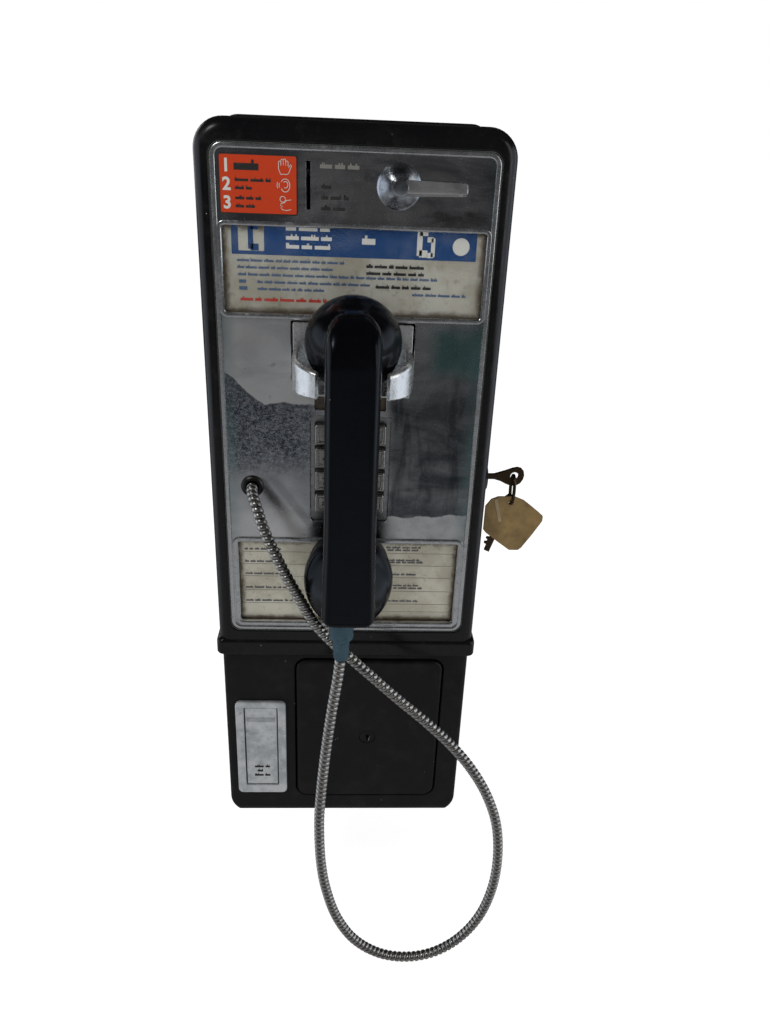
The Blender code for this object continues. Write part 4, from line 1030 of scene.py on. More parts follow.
def make_upper_card():
    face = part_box("upper_card")[0].y
    flakes("upper_card_band", [(-0.075, 0.0748, 0.191, 0.2098)], face - 0.00004, INK_BLUE)
    y = face - 0.00014
    flakes("upper_card_block", [(-0.0708, -0.0553, 0.1932, 0.2098)], y, CARD)
    white = handset_icon(0.0395, 0.201, 0.015) + handset_icon(0.048, 0.1985, 0.011, -1.0)
    white += text_rows(0.0034, (-0.042, -0.013, 0.2003, 11), (-0.042, -0.015, 0.1952, 12),
                       (-0.042, -0.011, 0.2056, 13))
    white += text_row(0.0042, 0.0185, 0.199, 0.0056, 14)
    flakes("upper_card_white", white, y, INK_WHITE)
    flakes("upper_card_phone", handset_icon(-0.0635, 0.2015, 0.0145), y - 0.0001, INK_BLUE)
    disc = rod("y", (0.0652, y - 0.00004, 0.1995), 0.00008, 0.0052, 32)
    piece("upper_card_coin", disc, INK_WHITE, "cover", "card")
    blue = text_rows(0.0021, (-0.072, -0.0064, 0.1868, 15), (-0.072, -0.0135, 0.1827, 16),
                     (-0.0718, 0.0532, 0.1784, 17), (-0.06, 0.0098, 0.1741, 18),
                     (-0.06, -0.0158, 0.1699, 19), (0.0365, 0.0703, 0.169, 20))
    blue += [(-0.0712, -0.0668, 0.174, 0.176), (-0.0712, -0.0662, 0.1697, 0.1719)]
    flakes("upper_card_text", blue, y, INK_TEXT_BLUE)
    typed = text_rows(0.0025, (0.0073, 0.0434, 0.1853, 21), (0.0073, 0.0432, 0.1812, 22),
                      (0.0134, 0.0492, 0.1731, 23))
    flakes("upper_card_typing", typed, y - 0.0001, INK_BLACK)
    flakes("upper_card_red", text_row(-0.0707, -0.0166, 0.1632, 0.0027, 24), y, INK_RED)


def make_lower_card():
    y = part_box("lower_card")[0].y - 0.00004
    lines = []
    text = []
    x0, x1 = LOWER_WINDOW[:2]
    for index, z in enumerate((-0.0135, -0.0235, -0.0335, -0.045, -0.056)):
        lines.append((x0 + 0.002, x1 - 0.003, z, z + 0.00035))
        text += text_row(x0 + 0.004, x0 + 0.03 + 0.002 * index, z + 0.0016, 0.0021, 31 + index)
        text += text_row(0.028, 0.028 + 0.024 + 0.003 * (index % 2), z + 0.0022, 0.0021, 41 + index)
    for z, seed in ((-0.0082, 51), (-0.0185, 52), (-0.0395, 53)):
        text += text_row(0.027, 0.052, z - 0.001, 0.0019, seed)
    lines.append((0.003, x1 - 0.003, -0.0625, -0.0622))
    flakes("lower_card_rules", lines, y, INK_GREY)
    flakes("lower_card_text", text, y, INK_SLATE)


# (x, z) about a sign's middle: the heel of the raised palm, and the fist below its coin.
PALM_HEEL = ((0.0028, -0.0004), (0.0042, 0.0014), (0.0046, 0.0008), (0.003, -0.003), (0.0022, -0.004),
             (-0.0018, -0.004), (-0.003, -0.0012))
FIST = ((0.0042, 0.0024), (0.0012, 0.002), (0.0004, 0.0008), (-0.0018, 0.0002), (-0.0022, -0.0008),
        (-0.0008, -0.0014), (-0.002, -0.0022), (-0.0008, -0.0032), (0.0014, -0.0036), (0.004, -0.003))


def placard_signs(x, rows):
    """A raised palm, an ear with sound waves and a fist with a coin, each as (x, z) lines."""
    z = rows[0]
    palm = [(x - 0.003, z - 0.0012)]
    for index, tip in enumerate((0.003, 0.004, 0.0042, 0.0032)):
        left = x - 0.003 + index * 0.0014
        top = z + tip
        palm += [(left, top - 0.0006), (left + 0.0004, top), (left + 0.001, top),
                 (left + 0.0014, top - 0.0006), (left + 0.0014, z + 0.0006)]
    palm += [(x + a, z + b) for a, b in PALM_HEEL]
    z = rows[1]
    ear = arc_path(x + 0.0008, z, 0.0036, 150.0, -150.0, 16, 0.75)
    inner_ear = arc_path(x + 0.0009, z + 0.0004, 0.0018, 140.0, -120.0, 10, 0.8)
    waves = [arc_path(x - 0.0006, z, radius, 150.0, 210.0, 6) for radius in (0.0022, 0.0034)]
    z = rows[2]
    coin = arc_path(x - 0.0008, z + 0.0026, 0.0016, 0.0, 360.0, 16)
    fist = [(x + a, z + b) for a, b in FIST]
    return [palm, ear, inner_ear, *waves, coin, fist]


def make_placard():
    """Orange instruction plate: three numbered steps, each with a drawn sign."""
    low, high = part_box("dialing_placard")
    extent = extent_of("dialing_placard")
    front = low.y - 0.0001
    slot = "orange_placard"
    plate = panel(extent, 0.0014, high.y, low.y, 0.0003, turns=2)
    piece("placard_plate", plate, INK_BLACK, "cover", slot, "dialing_placard")
    sheet = panel(grown(extent, -0.0007), 0.001, low.y + 0.0002, front, 0.00008, turns=1)
    piece("placard_face", sheet, ORANGE, "cover", slot)
    rows = (0.241, 0.231, 0.2208)
    for body, z in zip("123", rows):
        figure = numeral(body, 0.0098, (-0.0758, front - 0.00005, z), 0.0001, 0.0003)
        piece(f"placard_figure_{body}", figure, INK_WHITE, "cover", "card", weighted=False)
    text = text_row(-0.0713, -0.05, rows[0] - 0.0025, 0.006, 61)
    text += text_rows(0.0023, (-0.071, -0.05, 0.2324, 62), (-0.071, -0.0612, 0.228, 63),
                      (-0.071, -0.0558, 0.2225, 64), (-0.071, -0.0592, 0.218, 65))
    flakes("placard_text", text, front, INK_BLACK, slot=slot)
    drawn = [wire([Vector((x, front, z)) for x, z in path], 0.00022, 6)
             for path in placard_signs(-0.0424, rows)]
    piece("placard_signs", merged(*drawn), INK_WHITE, "cover", "card", angle=80.0, weighted=False)


def make_plate_print():
    """Stamped marks beside the coin slot and under the release lever."""
    marks = text_rows(0.003, (-0.0206, -0.0118, 0.23, 71), (-0.0206, -0.0042, 0.224, 72),
                      (-0.0206, -0.006, 0.218, 73))
    marks += text_rows(0.0024, (0.0425, 0.056, 0.2158, 74), (0.059, 0.0785, 0.2158, 75))
    flakes("stamped_marks", marks, FACE_Y, INK_BLACK, slot="chrome_plate")
    faint = text_row(-0.0214, 0.003, 0.241, 0.0034, 76)
    flakes("faint_marks", faint, FACE_Y, INK_GREY, slot="chrome_plate", thick=0.00005)


# --- keypad -------------------------------------------------------------------------------------
KEY_LABELS = {"star": "*", "hash": "#"}
# (inset, distance behind the key's front) round a cap: its rounded edge, then a dished top.
CAP_SECTIONS = ((0.0, 0.0012), (0.0002, 0.0005), (0.0006, 0.0001), (0.001, 0.0), (0.002, 0.0),
                (0.0022, 0.0001), (0.0024, 0.0004), (0.0027, 0.0005), (0.003, 0.0005))


def make_keys():
    for name in (*"123456789", "star", "0", "hash"):
        node = f"key_{name}"
        low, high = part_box(node)
        flange = extent_of(node)
        cap = grown(flange, -0.0009)
        rings = [ring(flange, 0.0012, high.y, 4), ring(flange, 0.0012, high.y - 0.0014, 4),
                 ring(cap, 0.0015, high.y - 0.0015, 4)]
        rings += [ring(grown(cap, -inset), max(0.0004, 0.0015 - inset * 0.4), low.y + behind, 4)
                  for inset, behind in CAP_SECTIONS]
        piece(f"{node}_cap", loft(rings), KEY_CHROME, node, "key_caps", node)
        centre = ((low.x + high.x) / 2.0, low.y + 0.0004, (low.z + high.z) / 2.0)
        size = 0.0105 if name == "star" else 0.0072
        figure = numeral(KEY_LABELS.get(name, name), size, centre, 0.00012, 0.00012)
        piece(f"{node}_figure", figure, INK_BLACK, node, "key_caps", weighted=False)


# --- hook ---------------------------------------------------------------------------------------
ARM_HALF = 0.0019
ARM_BOTTOM = 0.1147
# (x, distance behind the faceplate) along an arm, and (share of its length, z) of its top edge.
ARM_LINE = ((0.0361, 0.001), (0.036, -0.012), (0.0354, -0.024), (0.034, -0.0302), (0.0305, -0.036),
            (0.0265, -0.04), (0.0215, -0.043))
ARM_TOPS = ((0.0, 0.1366), (0.45, 0.1352), (0.7, 0.134), (1.0, 0.1312))


def arm_top(share):
    for (s0, z0), (s1, z1) in zip(ARM_TOPS, ARM_TOPS[1:]):
        if share <= s1:
            return z0 + (z1 - z0) * (share - s0) / (s1 - s0)
    return ARM_TOPS[-1][1]


def cradle_arm(side):
    """One arm of the cradle: a rounded strip that runs out from the plate and in across the ear cup."""
    line, _ = even_points(curve_through([(x, FACE_Y + y, 0.0) for x, y in ARM_LINE]), 0.0012)
    half = ARM_HALF
    rings = []
    for step, point in enumerate(line):
        way = (line[min(step + 1, len(line) - 1)] - line[max(step - 1, 0)]).normalized()
        outward = Vector((-way.y, way.x, 0.0))
        top = arm_top(step / (len(line) - 1))
        section = [(half - 0.0008, ARM_BOTTOM), (half, ARM_BOTTOM + 0.0008), (half, top - 0.003),
                   (half - 0.0003, top - 0.0018), (half - 0.001, top - 0.0008), (half - 0.0019, top - 0.0002),
                   (-half + 0.0012, top), (-half + 0.0004, top - 0.0004), (-half, top - 0.0012),
                   (-half, ARM_BOTTOM + 0.0008), (-half + 0.0008, ARM_BOTTOM)]
        places = [(point + outward * across, z) for across, z in section]
        rings.append([Vector((side * place.x, place.y, z)) for place, z in places])
    return loft(rings)


def make_hook():
    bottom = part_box("hook_cradle")[0].z
    plate = panel(grown(HOOK_OPENING, -0.0011), 0.0012, FACE_Y + 0.0028, FACE_Y - 0.0002, 0.0005)
    web = block((-0.035, FACE_Y - 0.034, 0.1136), (0.035, FACE_Y + 0.0008, 0.1153), 0.0006)
    neck = block((-0.011, FACE_Y + 0.0015, 0.1131), (0.011, FACE_Y + 0.012, 0.124), 0.0006)
    knuckle = block((-0.012, FACE_Y + 0.009, bottom), (0.012, FACE_Y + 0.0215, 0.1228), 0.0008)
    casting = merged(plate, web, neck, knuckle, cradle_arm(1), cradle_arm(-1))
    piece("hook_cradle_casting", casting, CRADLE_CHROME, "hook", "chrome_plate", "hook_cradle")


# --- coin release and cord exit -------------------------------------------------------------------
# (radius, distance in front of the faceplate) of the boss.
DISH_PROFILE = ((0.01, 0.0004), (0.0128, 0.0004), (0.0132, 0.001), (0.0131, 0.0018), (0.0126, 0.0023),
                (0.0118, 0.0028), (0.0095, 0.0058), (0.0072, 0.0094), (0.0056, 0.013), (0.0051, 0.015),
                (0.0049, 0.0166), (0.0045, 0.0173), (0.0038, 0.0176), (0.0, 0.0177))
# (x from the boss's middle, half height, front and back in front of the faceplate) along the lever.
LEVER_STATIONS = ((0.0, 0.004, 0.0172, 0.0125), (0.006, 0.0044, 0.0172, 0.0122),
                  (0.02, 0.004, 0.0171, 0.0122), (0.037, 0.0036, 0.0169, 0.0122),
                  (0.0384, 0.0033, 0.0166, 0.0125), (0.039, 0.0026, 0.016, 0.0131))


def make_release():
    dish = lathe(DISH_PROFILE, "-y", (RELEASE.x, FACE_Y, RELEASE.z), 64)
    piece("release_dish", dish, DOME_CHROME, "release", "chrome_plate", "coin_release_lever")
    rings = []
    for x, half, front, back in LEVER_STATIONS:
        section = [(-half, back + 0.0008), (-half, front - 0.0024), (-half * 0.62, front - 0.0003),
                   (-half * 0.45, front), (half * 0.1, front), (half * 0.28, front - 0.0003),
                   (half, front - 0.0016), (half, back + 0.0008), (half * 0.8, back), (-half * 0.8, back)]
        rings.append([Vector((RELEASE.x + x, FACE_Y - proud, RELEASE.z + z)) for z, proud in section])
    piece("release_arm", loft(rings), LEVER_CHROME, "release", "chrome_plate", angle=24.0)


def make_cord_exit():
    low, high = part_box("cord_grommet")
    centre = ((low.x + high.x) / 2.0, FACE_Y, (low.z + high.z) / 2.0)
    bore = CORD_DIAMETER / 2.0 + 0.0004
    profile = [(bore, -0.006), (bore, 0.0014), (bore + 0.0003, 0.0019), (bore + 0.001, 0.0022),
               (0.0062, 0.0021), (0.0072, 0.0014), (0.0078, 0.0006), (0.0077, 0.0001), (0.0061, 0.0001),
               (0.0059, -0.006)]
    ferrule = lathe(profile, "-y", centre, 40, closed=True)
    piece("cord_exit_ferrule", ferrule, DARK_STEEL, "cover", "steel", "cord_grommet")


# --- lower housing and its doors ------------------------------------------------------------------
DOOR = extent_of("vault_door")
RETURN_FRAME = extent_of("coin_return_frame")
FLAP = extent_of("coin_return_flap")
BOTTOM_ROLL = 0.009


def bottom_roll(half, steps=12):
    """What the rounding takes off the lower casing's bottom front edge."""
    front = LOWER_FRONT
    low = LOWER_LOW.z
    clear = 0.002
    outline = [(front - clear, low + BOTTOM_ROLL), (front - clear, low - clear),
               (front + BOTTOM_ROLL, low - clear)]
    for step in range(steps + 1):
        angle = 0.5 * math.pi * step / steps
        in_y = BOTTOM_ROLL * (1.0 - math.sin(angle))
        outline.append((front + in_y, low + BOTTOM_ROLL * (1.0 - math.cos(angle))))
    return prism(outline, "x", -half, half)


def make_lower_housing():
    half = LOWER_HIGH.x
    rear = LOWER_HIGH.y
    casing = panel((-half, half, LOWER_LOW.z, -0.099), (0.017, 0.0015, 0.0015, 0.017), rear, LOWER_FRONT,
                   0.0034, 10, 6)
    shell = make_object("lower_casing", casing, WRINKLE)
    neck = 0.0915                   # half the width of what stands inside the cover
    weld(shell, block((-neck, LOWER_FRONT + 0.0005, -0.13), (neck, rear - 0.001, LOWER_HIGH.z), 0.0008))
    wall = 0.004
    inner = neck - 0.0015
    hollow = block((-inner, LOWER_FRONT + wall, LOWER_LOW.z + wall), (inner, 0.01, 0.0))
    door = flared_hole(grown(DOOR, 0.0009), 0.0098, LOWER_FRONT + 0.02, LOWER_FRONT, 0.0012, 8)
    x0, x1, z0, z1 = grown(RETURN_FRAME, -0.002)
    cup = block((x0, LOWER_FRONT - 0.01, z0), (x1, LOWER_FRONT + 0.02, z1))
    cut(shell, hollow, door, cup, bottom_roll(half + 0.002))
    attach(shell, "base", "black_matte", "lower_housing")


def keyhole_shape(centre, depth):
    """The keyhole's outline, a round hole with a slot below it, as a thin solid that carries the painted
    shade of the hole.
    """
    x, y, z = centre
    slot = block((x - 0.0007, y - depth / 2.0, z - 0.0034), (x + 0.0007, y + depth / 2.0, z + 0.001))
    return merged(rod("y", (x, y, z + 0.0012), depth, 0.0016, 20), slot)


def make_vault():
    low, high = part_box("vault_door")
    plug_low, plug_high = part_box("vault_lock")
    centre = (plug_low + plug_high) / 2.0
    hole = rod("y", (centre.x, low.y, centre.z), 0.04, 0.0065, 40)
    door = panel(DOOR, 0.009, high.y, low.y, 0.0026, 10, 6)
    piece("vault_door_casting", door, WRINKLE, "vault_door", "black_matte", "vault_door", cuts=[hole])
    half = (plug_high.y - plug_low.y) / 2.0
    barrel = [(0.006, -half + 0.0002), (0.0062, -half + 0.0004), (0.0062, half - 0.0003),
              (0.0061, half - 0.0001), (0.0059, half), (0.0, half)]
    plug = lathe(barrel, "-y", centre, 40)
    piece("vault_lock_plug", plug, WRINKLE, "vault_lock", "black_matte", "vault_lock")
    # A thin near-black sheet on the plug's face is painted shade for the keyhole, which is not cut.
    slot = keyhole_shape((centre.x, plug_low.y, centre.z), 0.0003)
    piece("vault_keyhole", slot, KEYHOLE_SHADE, "vault_lock", "black_matte")
    worn = [Vector((centre.x + x, plug_low.y, centre.z + z))
            for x, z in ((0.0011, -0.0034), (0.0014, -0.0014), (0.002, 0.0006))]
    piece("vault_keyhole_edge", wire(worn, 0.00022, 6), CRADLE_CHROME, "vault_lock", "black_matte")


def make_return_frame():
    low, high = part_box("coin_return_frame")
    x0, x1, z0, z1 = RETURN_FRAME
    front = low.y
    seat = LOWER_FRONT - 0.0003
    casting = make_object("coin_return_bezel", panel(RETURN_FRAME, 0.004, seat, front, 0.0009, 8), ZINC)
    weld(casting, *[block((a, front + 0.0012, -0.1635), (b, high.y, -0.1525), 0.0004)
                    for a, b in ((x0 + 0.0025, FLAP[0] - 0.0005), (FLAP[1] + 0.0005, x1 - 0.0025))])
    middle = (x0 + x1) / 2.0
    left, right = middle - 0.00018, middle + 0.00018
    opening = flared_hole(grown(FLAP, 0.0009), 0.001, front + 0.03, front, 0.0004)
    seams = [block((left, front - 0.001, FLAP[3]), (right, front + 0.0005, z1 + 0.001)),
             block((left, front - 0.001, z0 - 0.001), (right, front + 0.0005, FLAP[2])),
             block((x1 - 0.0032, front - 0.001, -0.18), (x1 - 0.0014, front + 0.0003, -0.1797))]
    cut(casting, opening, *seams)
    attach(casting, "base", "satin_zinc", "coin_return_frame")


def make_return_flap():
    low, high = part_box("coin_return_flap")
    x0, x1 = FLAP[:2]
    front = low.y
    flap = make_object("coin_return_door", panel(FLAP, 0.0008, front + 0.0025, front, 0.0004, turns=3), ZINC)
    weld(flap, block((x0 + 0.002, front + 0.0018, -0.161), (x1 - 0.002, high.y, -0.1555), 0.0008))
    ribs = [block((x0 + 0.0014, front - 0.001, z), (x1 - 0.0014, front + 0.0004, z + 0.0006))
            for z in (-0.1682, -0.1671, -0.166, -0.1649)]
    cut(flap, *ribs, block((x0 + 0.001, front - 0.001, -0.1642), (x1 - 0.001, front + 0.0003, -0.16)))
    attach(flap, "return_flap", "satin_zinc", "coin_return_flap")
    centre = (x0 + x1) / 2.0
    marks = text_rows(0.003, *[(centre - half, centre + half, z, seed) for z, half, seed in
                               ((-0.215, 0.0062, 81), (-0.2195, 0.0042, 82), (-0.224, 0.0064, 83))])
    flakes("coin_return_marks", marks, front, INK_BLACK, "return_flap", "satin_zinc")


# --- side lock, key and tag -----------------------------------------------------------------------
BOW_HOLE = (0.1178, 0.0426)
TAG_HOLE = (0.1176, 0.0216)
# (radius, height) round the barrel's section, 0 being its outer face.
BARREL_PROFILE = ((0.006, -0.0209), (0.0098, -0.0209), (0.01, -0.0205), (0.01, -0.0008), (0.0098, -0.0003),
                  (0.0093, 0.0), (0.008, 0.0), (0.0074, -0.0004), (0.0066, -0.0014), (0.006, -0.0018),
                  (0.0058, -0.006), (0.0058, -0.0154), (0.0056, -0.0162))
# (x, z) round the key's bow, whose shank ends where the frame says, and round the tag.
BOW_OUTLINE = ((0.1034, 0.0398), (0.1082, 0.0384), (0.112, 0.0364), (0.1158, 0.035), (0.1196, 0.0351),
               (0.1226, 0.037), (0.1244, 0.04), (0.125, 0.0432), (0.1242, 0.0466), (0.1222, 0.0487),
               (0.1194, 0.0494), (0.116, 0.0486), (0.111, 0.0466), (0.1034, 0.0441))
TAG_OUTLINE = ((0.0979, 0.002), (0.0982, 0.014), (0.099, 0.0185), (0.103, 0.024), (0.108, 0.0262),
               (0.1118, 0.0285), (0.116, 0.0294), (0.1205, 0.0274), (0.127, 0.0236), (0.133, 0.019),
               (0.139, 0.0142), (0.1424, 0.0112), (0.1432, 0.0092), (0.1424, 0.0072), (0.136, -0.004),
               (0.129, -0.015), (0.1266, -0.018), (0.124, -0.0188), (0.12, -0.0172), (0.11, -0.0098),
               (0.101, -0.0028), (0.0986, -0.0004))
# (distance from its top, offset to its side) round the spare key.
SPARE_STATIONS = ((-0.003, 0.003), (-0.0038, 0.0), (-0.0036, -0.0025), (0.002, -0.006), (0.006, -0.0066),
                  (0.009, -0.006), (0.013, -0.0034), (0.016, -0.002), (0.033, -0.002), (0.0336, -0.0044),
                  (0.0352, -0.0045), (0.0356, -0.0028), (0.0372, -0.0028), (0.0376, -0.0045),
                  (0.0392, -0.0044), (0.0396, -0.0022), (0.0445, -0.0022), (0.0449, 0.002), (0.016, 0.002),
                  (0.013, 0.0034), (0.009, 0.006), (0.006, 0.0066), (0.002, 0.006))


def make_side_lock():
    y, z = LOCK_CENTRE.y, LOCK_CENTRE.z
    barrel = lathe(BARREL_PROFILE, "x", (LOCK_HIGH.x, y, z), closed=True)
    piece("side_lock_barrel", barrel, DARK_STEEL, "cover", "satin_zinc", "housing_lock")
    low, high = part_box("lock_plug")
    long = (high.x - low.x) / 2.0
    profile = [(0.005, -long), (0.0054, -long + 0.0004), (0.0054, long - 0.0005), (0.0049, long), (0.0, long)]
    plug = lathe(profile, "x", (low + high) / 2.0)
    slot = block((high.x - 0.002, y - 0.001, z - 0.004), (high.x + 0.002, y + 0.001, z + 0.0034))
    piece("side_lock_plug", plug, BRONZE, "side_key", "brass", "lock_plug", cuts=[slot])


def make_key():
    low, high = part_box("housing_key")
    bow = prism([(low.x, 0.0398), *BOW_OUTLINE, (low.x, 0.0439)], "y", low.y, high.y, 0.0005)
    hole = rod("y", (BOW_HOLE[0], LOCK_CENTRE.y, BOW_HOLE[1]), 0.02, 0.003, 24)
    piece("lock_key", bow, BRONZE, "side_key", "key_bronze", "housing_key", cuts=[hole])


def make_tag():
    y = LOCK_CENTRE.y
    middle = (BOW_HOLE[1] + TAG_HOLE[1]) / 2.0
    radius = (BOW_HOLE[1] - TAG_HOLE[1]) / 2.0
    turns = [2.0 * math.pi * step / 40 for step in range(40)]
    link = [Vector((TAG_HOLE[0], y + radius * 0.62 * math.sin(a), middle + radius * math.cos(a)))
            for a in turns]
    piece("key_ring_wire", wire(link, 0.0012, 12, True), BRONZE, "tag", "key_bronze", "key_link", angle=70.0)

    low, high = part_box("key_tag")
    outline = [(min(max(x, low.x), high.x), min(max(z, low.z), high.z)) for x, z in TAG_OUTLINE]
    tag = make_object("fibre_tag", prism(outline, "y", low.y, high.y, 0.0004), TAG, 28.0)
    cut(tag, rod("y", (TAG_HOLE[0], y, TAG_HOLE[1]), 0.02, 0.0018, 24))
    attach(tag, "tag", "tag_fibre", "key_tag")
    top, bottom = Vector((0.1062, 0.0, 0.0244)), Vector((0.1109, 0.0, 0.0064))
    side = Vector((bottom.z - top.z, 0.0, top.x - bottom.x)).normalized() * 0.0012
    strip = [(p.x, p.z) for p in (top + side, bottom + side, bottom - side, top - side)]
    paper = prism(strip, "y", low.y - 0.0004, low.y + 0.0001, 0.0001)
    piece("tag_strip", paper, TAG_PALE, "tag", "tag_fibre")


def make_spare_key():
    low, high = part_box("spare_key")
    top = Vector((0.1172, 0.0, 0.0232))
    way = (Vector((0.1036, 0.0, -0.0196)) - top).normalized()
    side = Vector((-way.z, 0.0, way.x))
    points = [top + way * distance + side * offset for distance, offset in SPARE_STATIONS]
    key = prism([(point.x, point.z) for point in points], "y", low.y, high.y, 0.0003)
    hole = rod("y", (TAG_HOLE[0], low.y, TAG_HOLE[1] + 0.0007), 0.02, 0.0026, 20)
    piece("second_key", key, BRONZE, "tag", "key_bronze", "spare_key", cuts=[hole])


# --- handset --------------------------------------------------------------------------------------
SHELL_LOW, SHELL_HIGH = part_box("handset_shell")
EAR = centre_of("ear_cap")
MOUTH = centre_of("mouth_cap")
SEAM_Y = SHELL_HIGH.y
VOXEL = 0.0007
CUP_INSET = 0.0028              # how much narrower a cup is at its seam than at its widest
# (height above the seam, radius lost on the half away from the handle's middle, and on the other)
CUP_ROWS = ((0.0, 0.0028, 0.0028), (0.0012, 0.0022, 0.0023), (0.003, 0.0013, 0.0018),
            (0.006, 0.0004, 0.0015), (0.0095, 0.0, 0.0014), (0.0125, 0.0002, 0.0019),
            (0.0155, 0.0008, 0.0038), (0.0185, 0.0018, 0.0078), (0.022, 0.0032, 0.0104),
            (0.026, 0.0056, 0.013), (0.03, 0.0088, 0.0155), (0.0345, 0.013, 0.018), (0.039, 0.0172, 0.02))
CUP_SIDES = 96
MOUTH_DROOP = 0.25              # how much further the mouth cup reaches down, as a share of its radius
HANDLE_BOTTOM = -0.027
HANDLE_TOP = EAR.z + 0.024
HANDLE_HALF = 0.016
HANDLE_DEEP = 0.0225
BOTTOM_END_ROLL = 0.0055
TOP_END_ROLL = 0.027
# (drawn in from the side, distance in front of the back) round one rear corner of the handle.
HANDLE_CORNER = ((0.0, 0.0068), (0.0002, 0.0056), (0.0008, 0.004), (0.0022, 0.0014), (0.003, 0.0005),
                 (0.0042, 0.0))


def cup_back(radius, z, outward, droop):
    """Outside of a cup from its seam up into the handle, fuller on the half away from its middle."""
    rings = []
    for height, full_loss, lean_loss in CUP_ROWS:
        points = []
        for side in range(CUP_SIDES):
            angle = 2.0 * math.pi * side / CUP_SIDES
            share = clamped(0.5 + math.sin(angle))
            share = share * share * (3.0 - 2.0 * share)
            reach = radius - lean_loss + (lean_loss - full_loss) * share
            rise = reach * math.sin(angle)
            if rise > 0.0:
                rise *= 1.0 + droop * min(1.0, height / 0.013)
            points.append(Vector((reach * math.cos(angle), SEAM_Y - height, z + outward * rise)))
        rings.append(points)
    return loft(rings)


def handle_rings():
    """Sections of the handle from its mouth end to its ear end, each a closed loop in x and y."""
    back = SHELL_LOW.y
    bottom, top = HANDLE_BOTTOM, HANDLE_TOP
    stations = []
    for roll, end, way in ((BOTTOM_END_ROLL, bottom, 1.0), (TOP_END_ROLL, top, -1.0)):
        stations += [(end + way * roll * (1.0 - c), roll * (1.0 - s)) for s, c in quarter(9)]
    straight = top - bottom - BOTTOM_END_ROLL - TOP_END_ROLL
    stations += [(bottom + BOTTOM_END_ROLL + straight * i / 24.0, 0.0) for i in range(1, 24)]
    rings = []
    for z, drop in sorted(stations):
        share = (z - bottom) / (top - bottom)
        half = HANDLE_HALF + 0.0014 * max(0.0, 1.0 - share / 0.35)
        # Both ends are narrower than the rest, with rounded corners.
        near_bottom = max(0.0, 1.0 - (z - bottom) / 0.006)
        near_top = max(0.0, 1.0 - (top - z) / TOP_END_ROLL)
        half -= 0.005 * near_bottom ** 2.5 + 0.008 * near_top ** 6.0
        y_back = back + drop
        y_front = max(back + HANDLE_DEEP, y_back + 0.004)
        section = [(half - 0.002, y_front), (half, y_front - 0.003)]
        section += [(half - inset, y_back + y) for inset, y in HANDLE_CORNER]
        section += [(-x, y) for x, y in reversed(section)]
        rings.append([Vector((x, y, z)) for x, y in section])
    return rings


def ease_ends(shell):
    """Melt the handle's ends into the cups."""
    group = shell.vertex_groups.new(name="ends")
    for vertex in shell.data.vertices:
        _, y, z = vertex.co
        near_ear = clamped((z - EAR.z + 0.004) / 0.01)
        near_mouth = clamped((MOUTH.z - z) / 0.01) * clamped((y - SHELL_LOW.y - 0.008) / 0.006)
        weight = max(near_ear, 0.6 * near_mouth) * clamped((SEAM_Y - y - 0.004) / 0.01)
        if weight > 0.0:
            group.add([vertex.index], weight, "REPLACE")
    ease = shell.modifiers.new("Melt", "SMOOTH")
    ease.factor = 0.5
    ease.iterations = 45
    ease.vertex_group = group.name


def make_shell():
    parts = [loft(handle_rings())]
    for node, outward, droop in (("ear_cap", 1.0, 0.0), ("mouth_cap", -1.0, MOUTH_DROOP)):
        parts.append(cup_back(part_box(node)[1].x + CUP_INSET, centre_of(node).z, outward, droop))
    shell = make_object("handset_body", merged(*parts), HANDSET, weighted=False)
    remesh = shell.modifiers.new("Join", "REMESH")
    remesh.mode = "VOXEL"
    remesh.voxel_size = VOXEL
    remesh.use_smooth_shade = True
    even = shell.modifiers.new("Ease", "CORRECTIVE_SMOOTH")
    even.iterations = 14
    even.use_only_smooth = True
    bake(shell, 180.0)
    ease_ends(shell)
    bake(shell, 180.0)
    low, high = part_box("cord_boot")
    socket = rod("z", ((low.x + high.x) / 2.0, (low.y + high.y) / 2.0, high.z - 0.0147), 0.03, 0.0085, 40)
    cut(shell, socket, angle=60.0)
    attach(shell, "handset", "handset_black", "handset_shell")


def make_caps():
    """The screwed caps of the two cups, each drilled in rings of (radius, count) holes."""
    for node, circles in (("ear_cap", ((0.0, 1), (0.0055, 6), (0.0105, 12))),
                          ("mouth_cap", ((0.0, 1), (0.006, 6), (0.012, 12)))):
        low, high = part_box(node)
        z = centre_of(node).z
        radius = (high.x - low.x) / 2.0
        deep = high.y - low.y
        profile = [(radius - inset, height) for inset, height in (
            (0.0008, 0.0), (0.0002, 0.0003), (0.0, 0.001), (0.0, deep * 0.45), (0.0006, deep * 0.64),
            (0.002, deep * 0.82), (0.0044, deep * 0.96), (0.0066, deep), (0.009, deep), (0.011, deep * 0.94))]
        profile.append((0.0, deep * 0.86))
        drills = []
        for ring_radius, count in circles:
            for angle in [2.0 * math.pi * index / count for index in range(count)]:
                place = (ring_radius * math.cos(angle), high.y, z + ring_radius * math.sin(angle))
                drills.append(rod("y", place, 0.006, 0.001, 12))
        cap = lathe(profile, "y", (0.0, low.y, z), 96)
        piece(f"{node}_moulding", cap, HANDSET, "handset", "handset_black", node, cuts=[merged(*drills)])


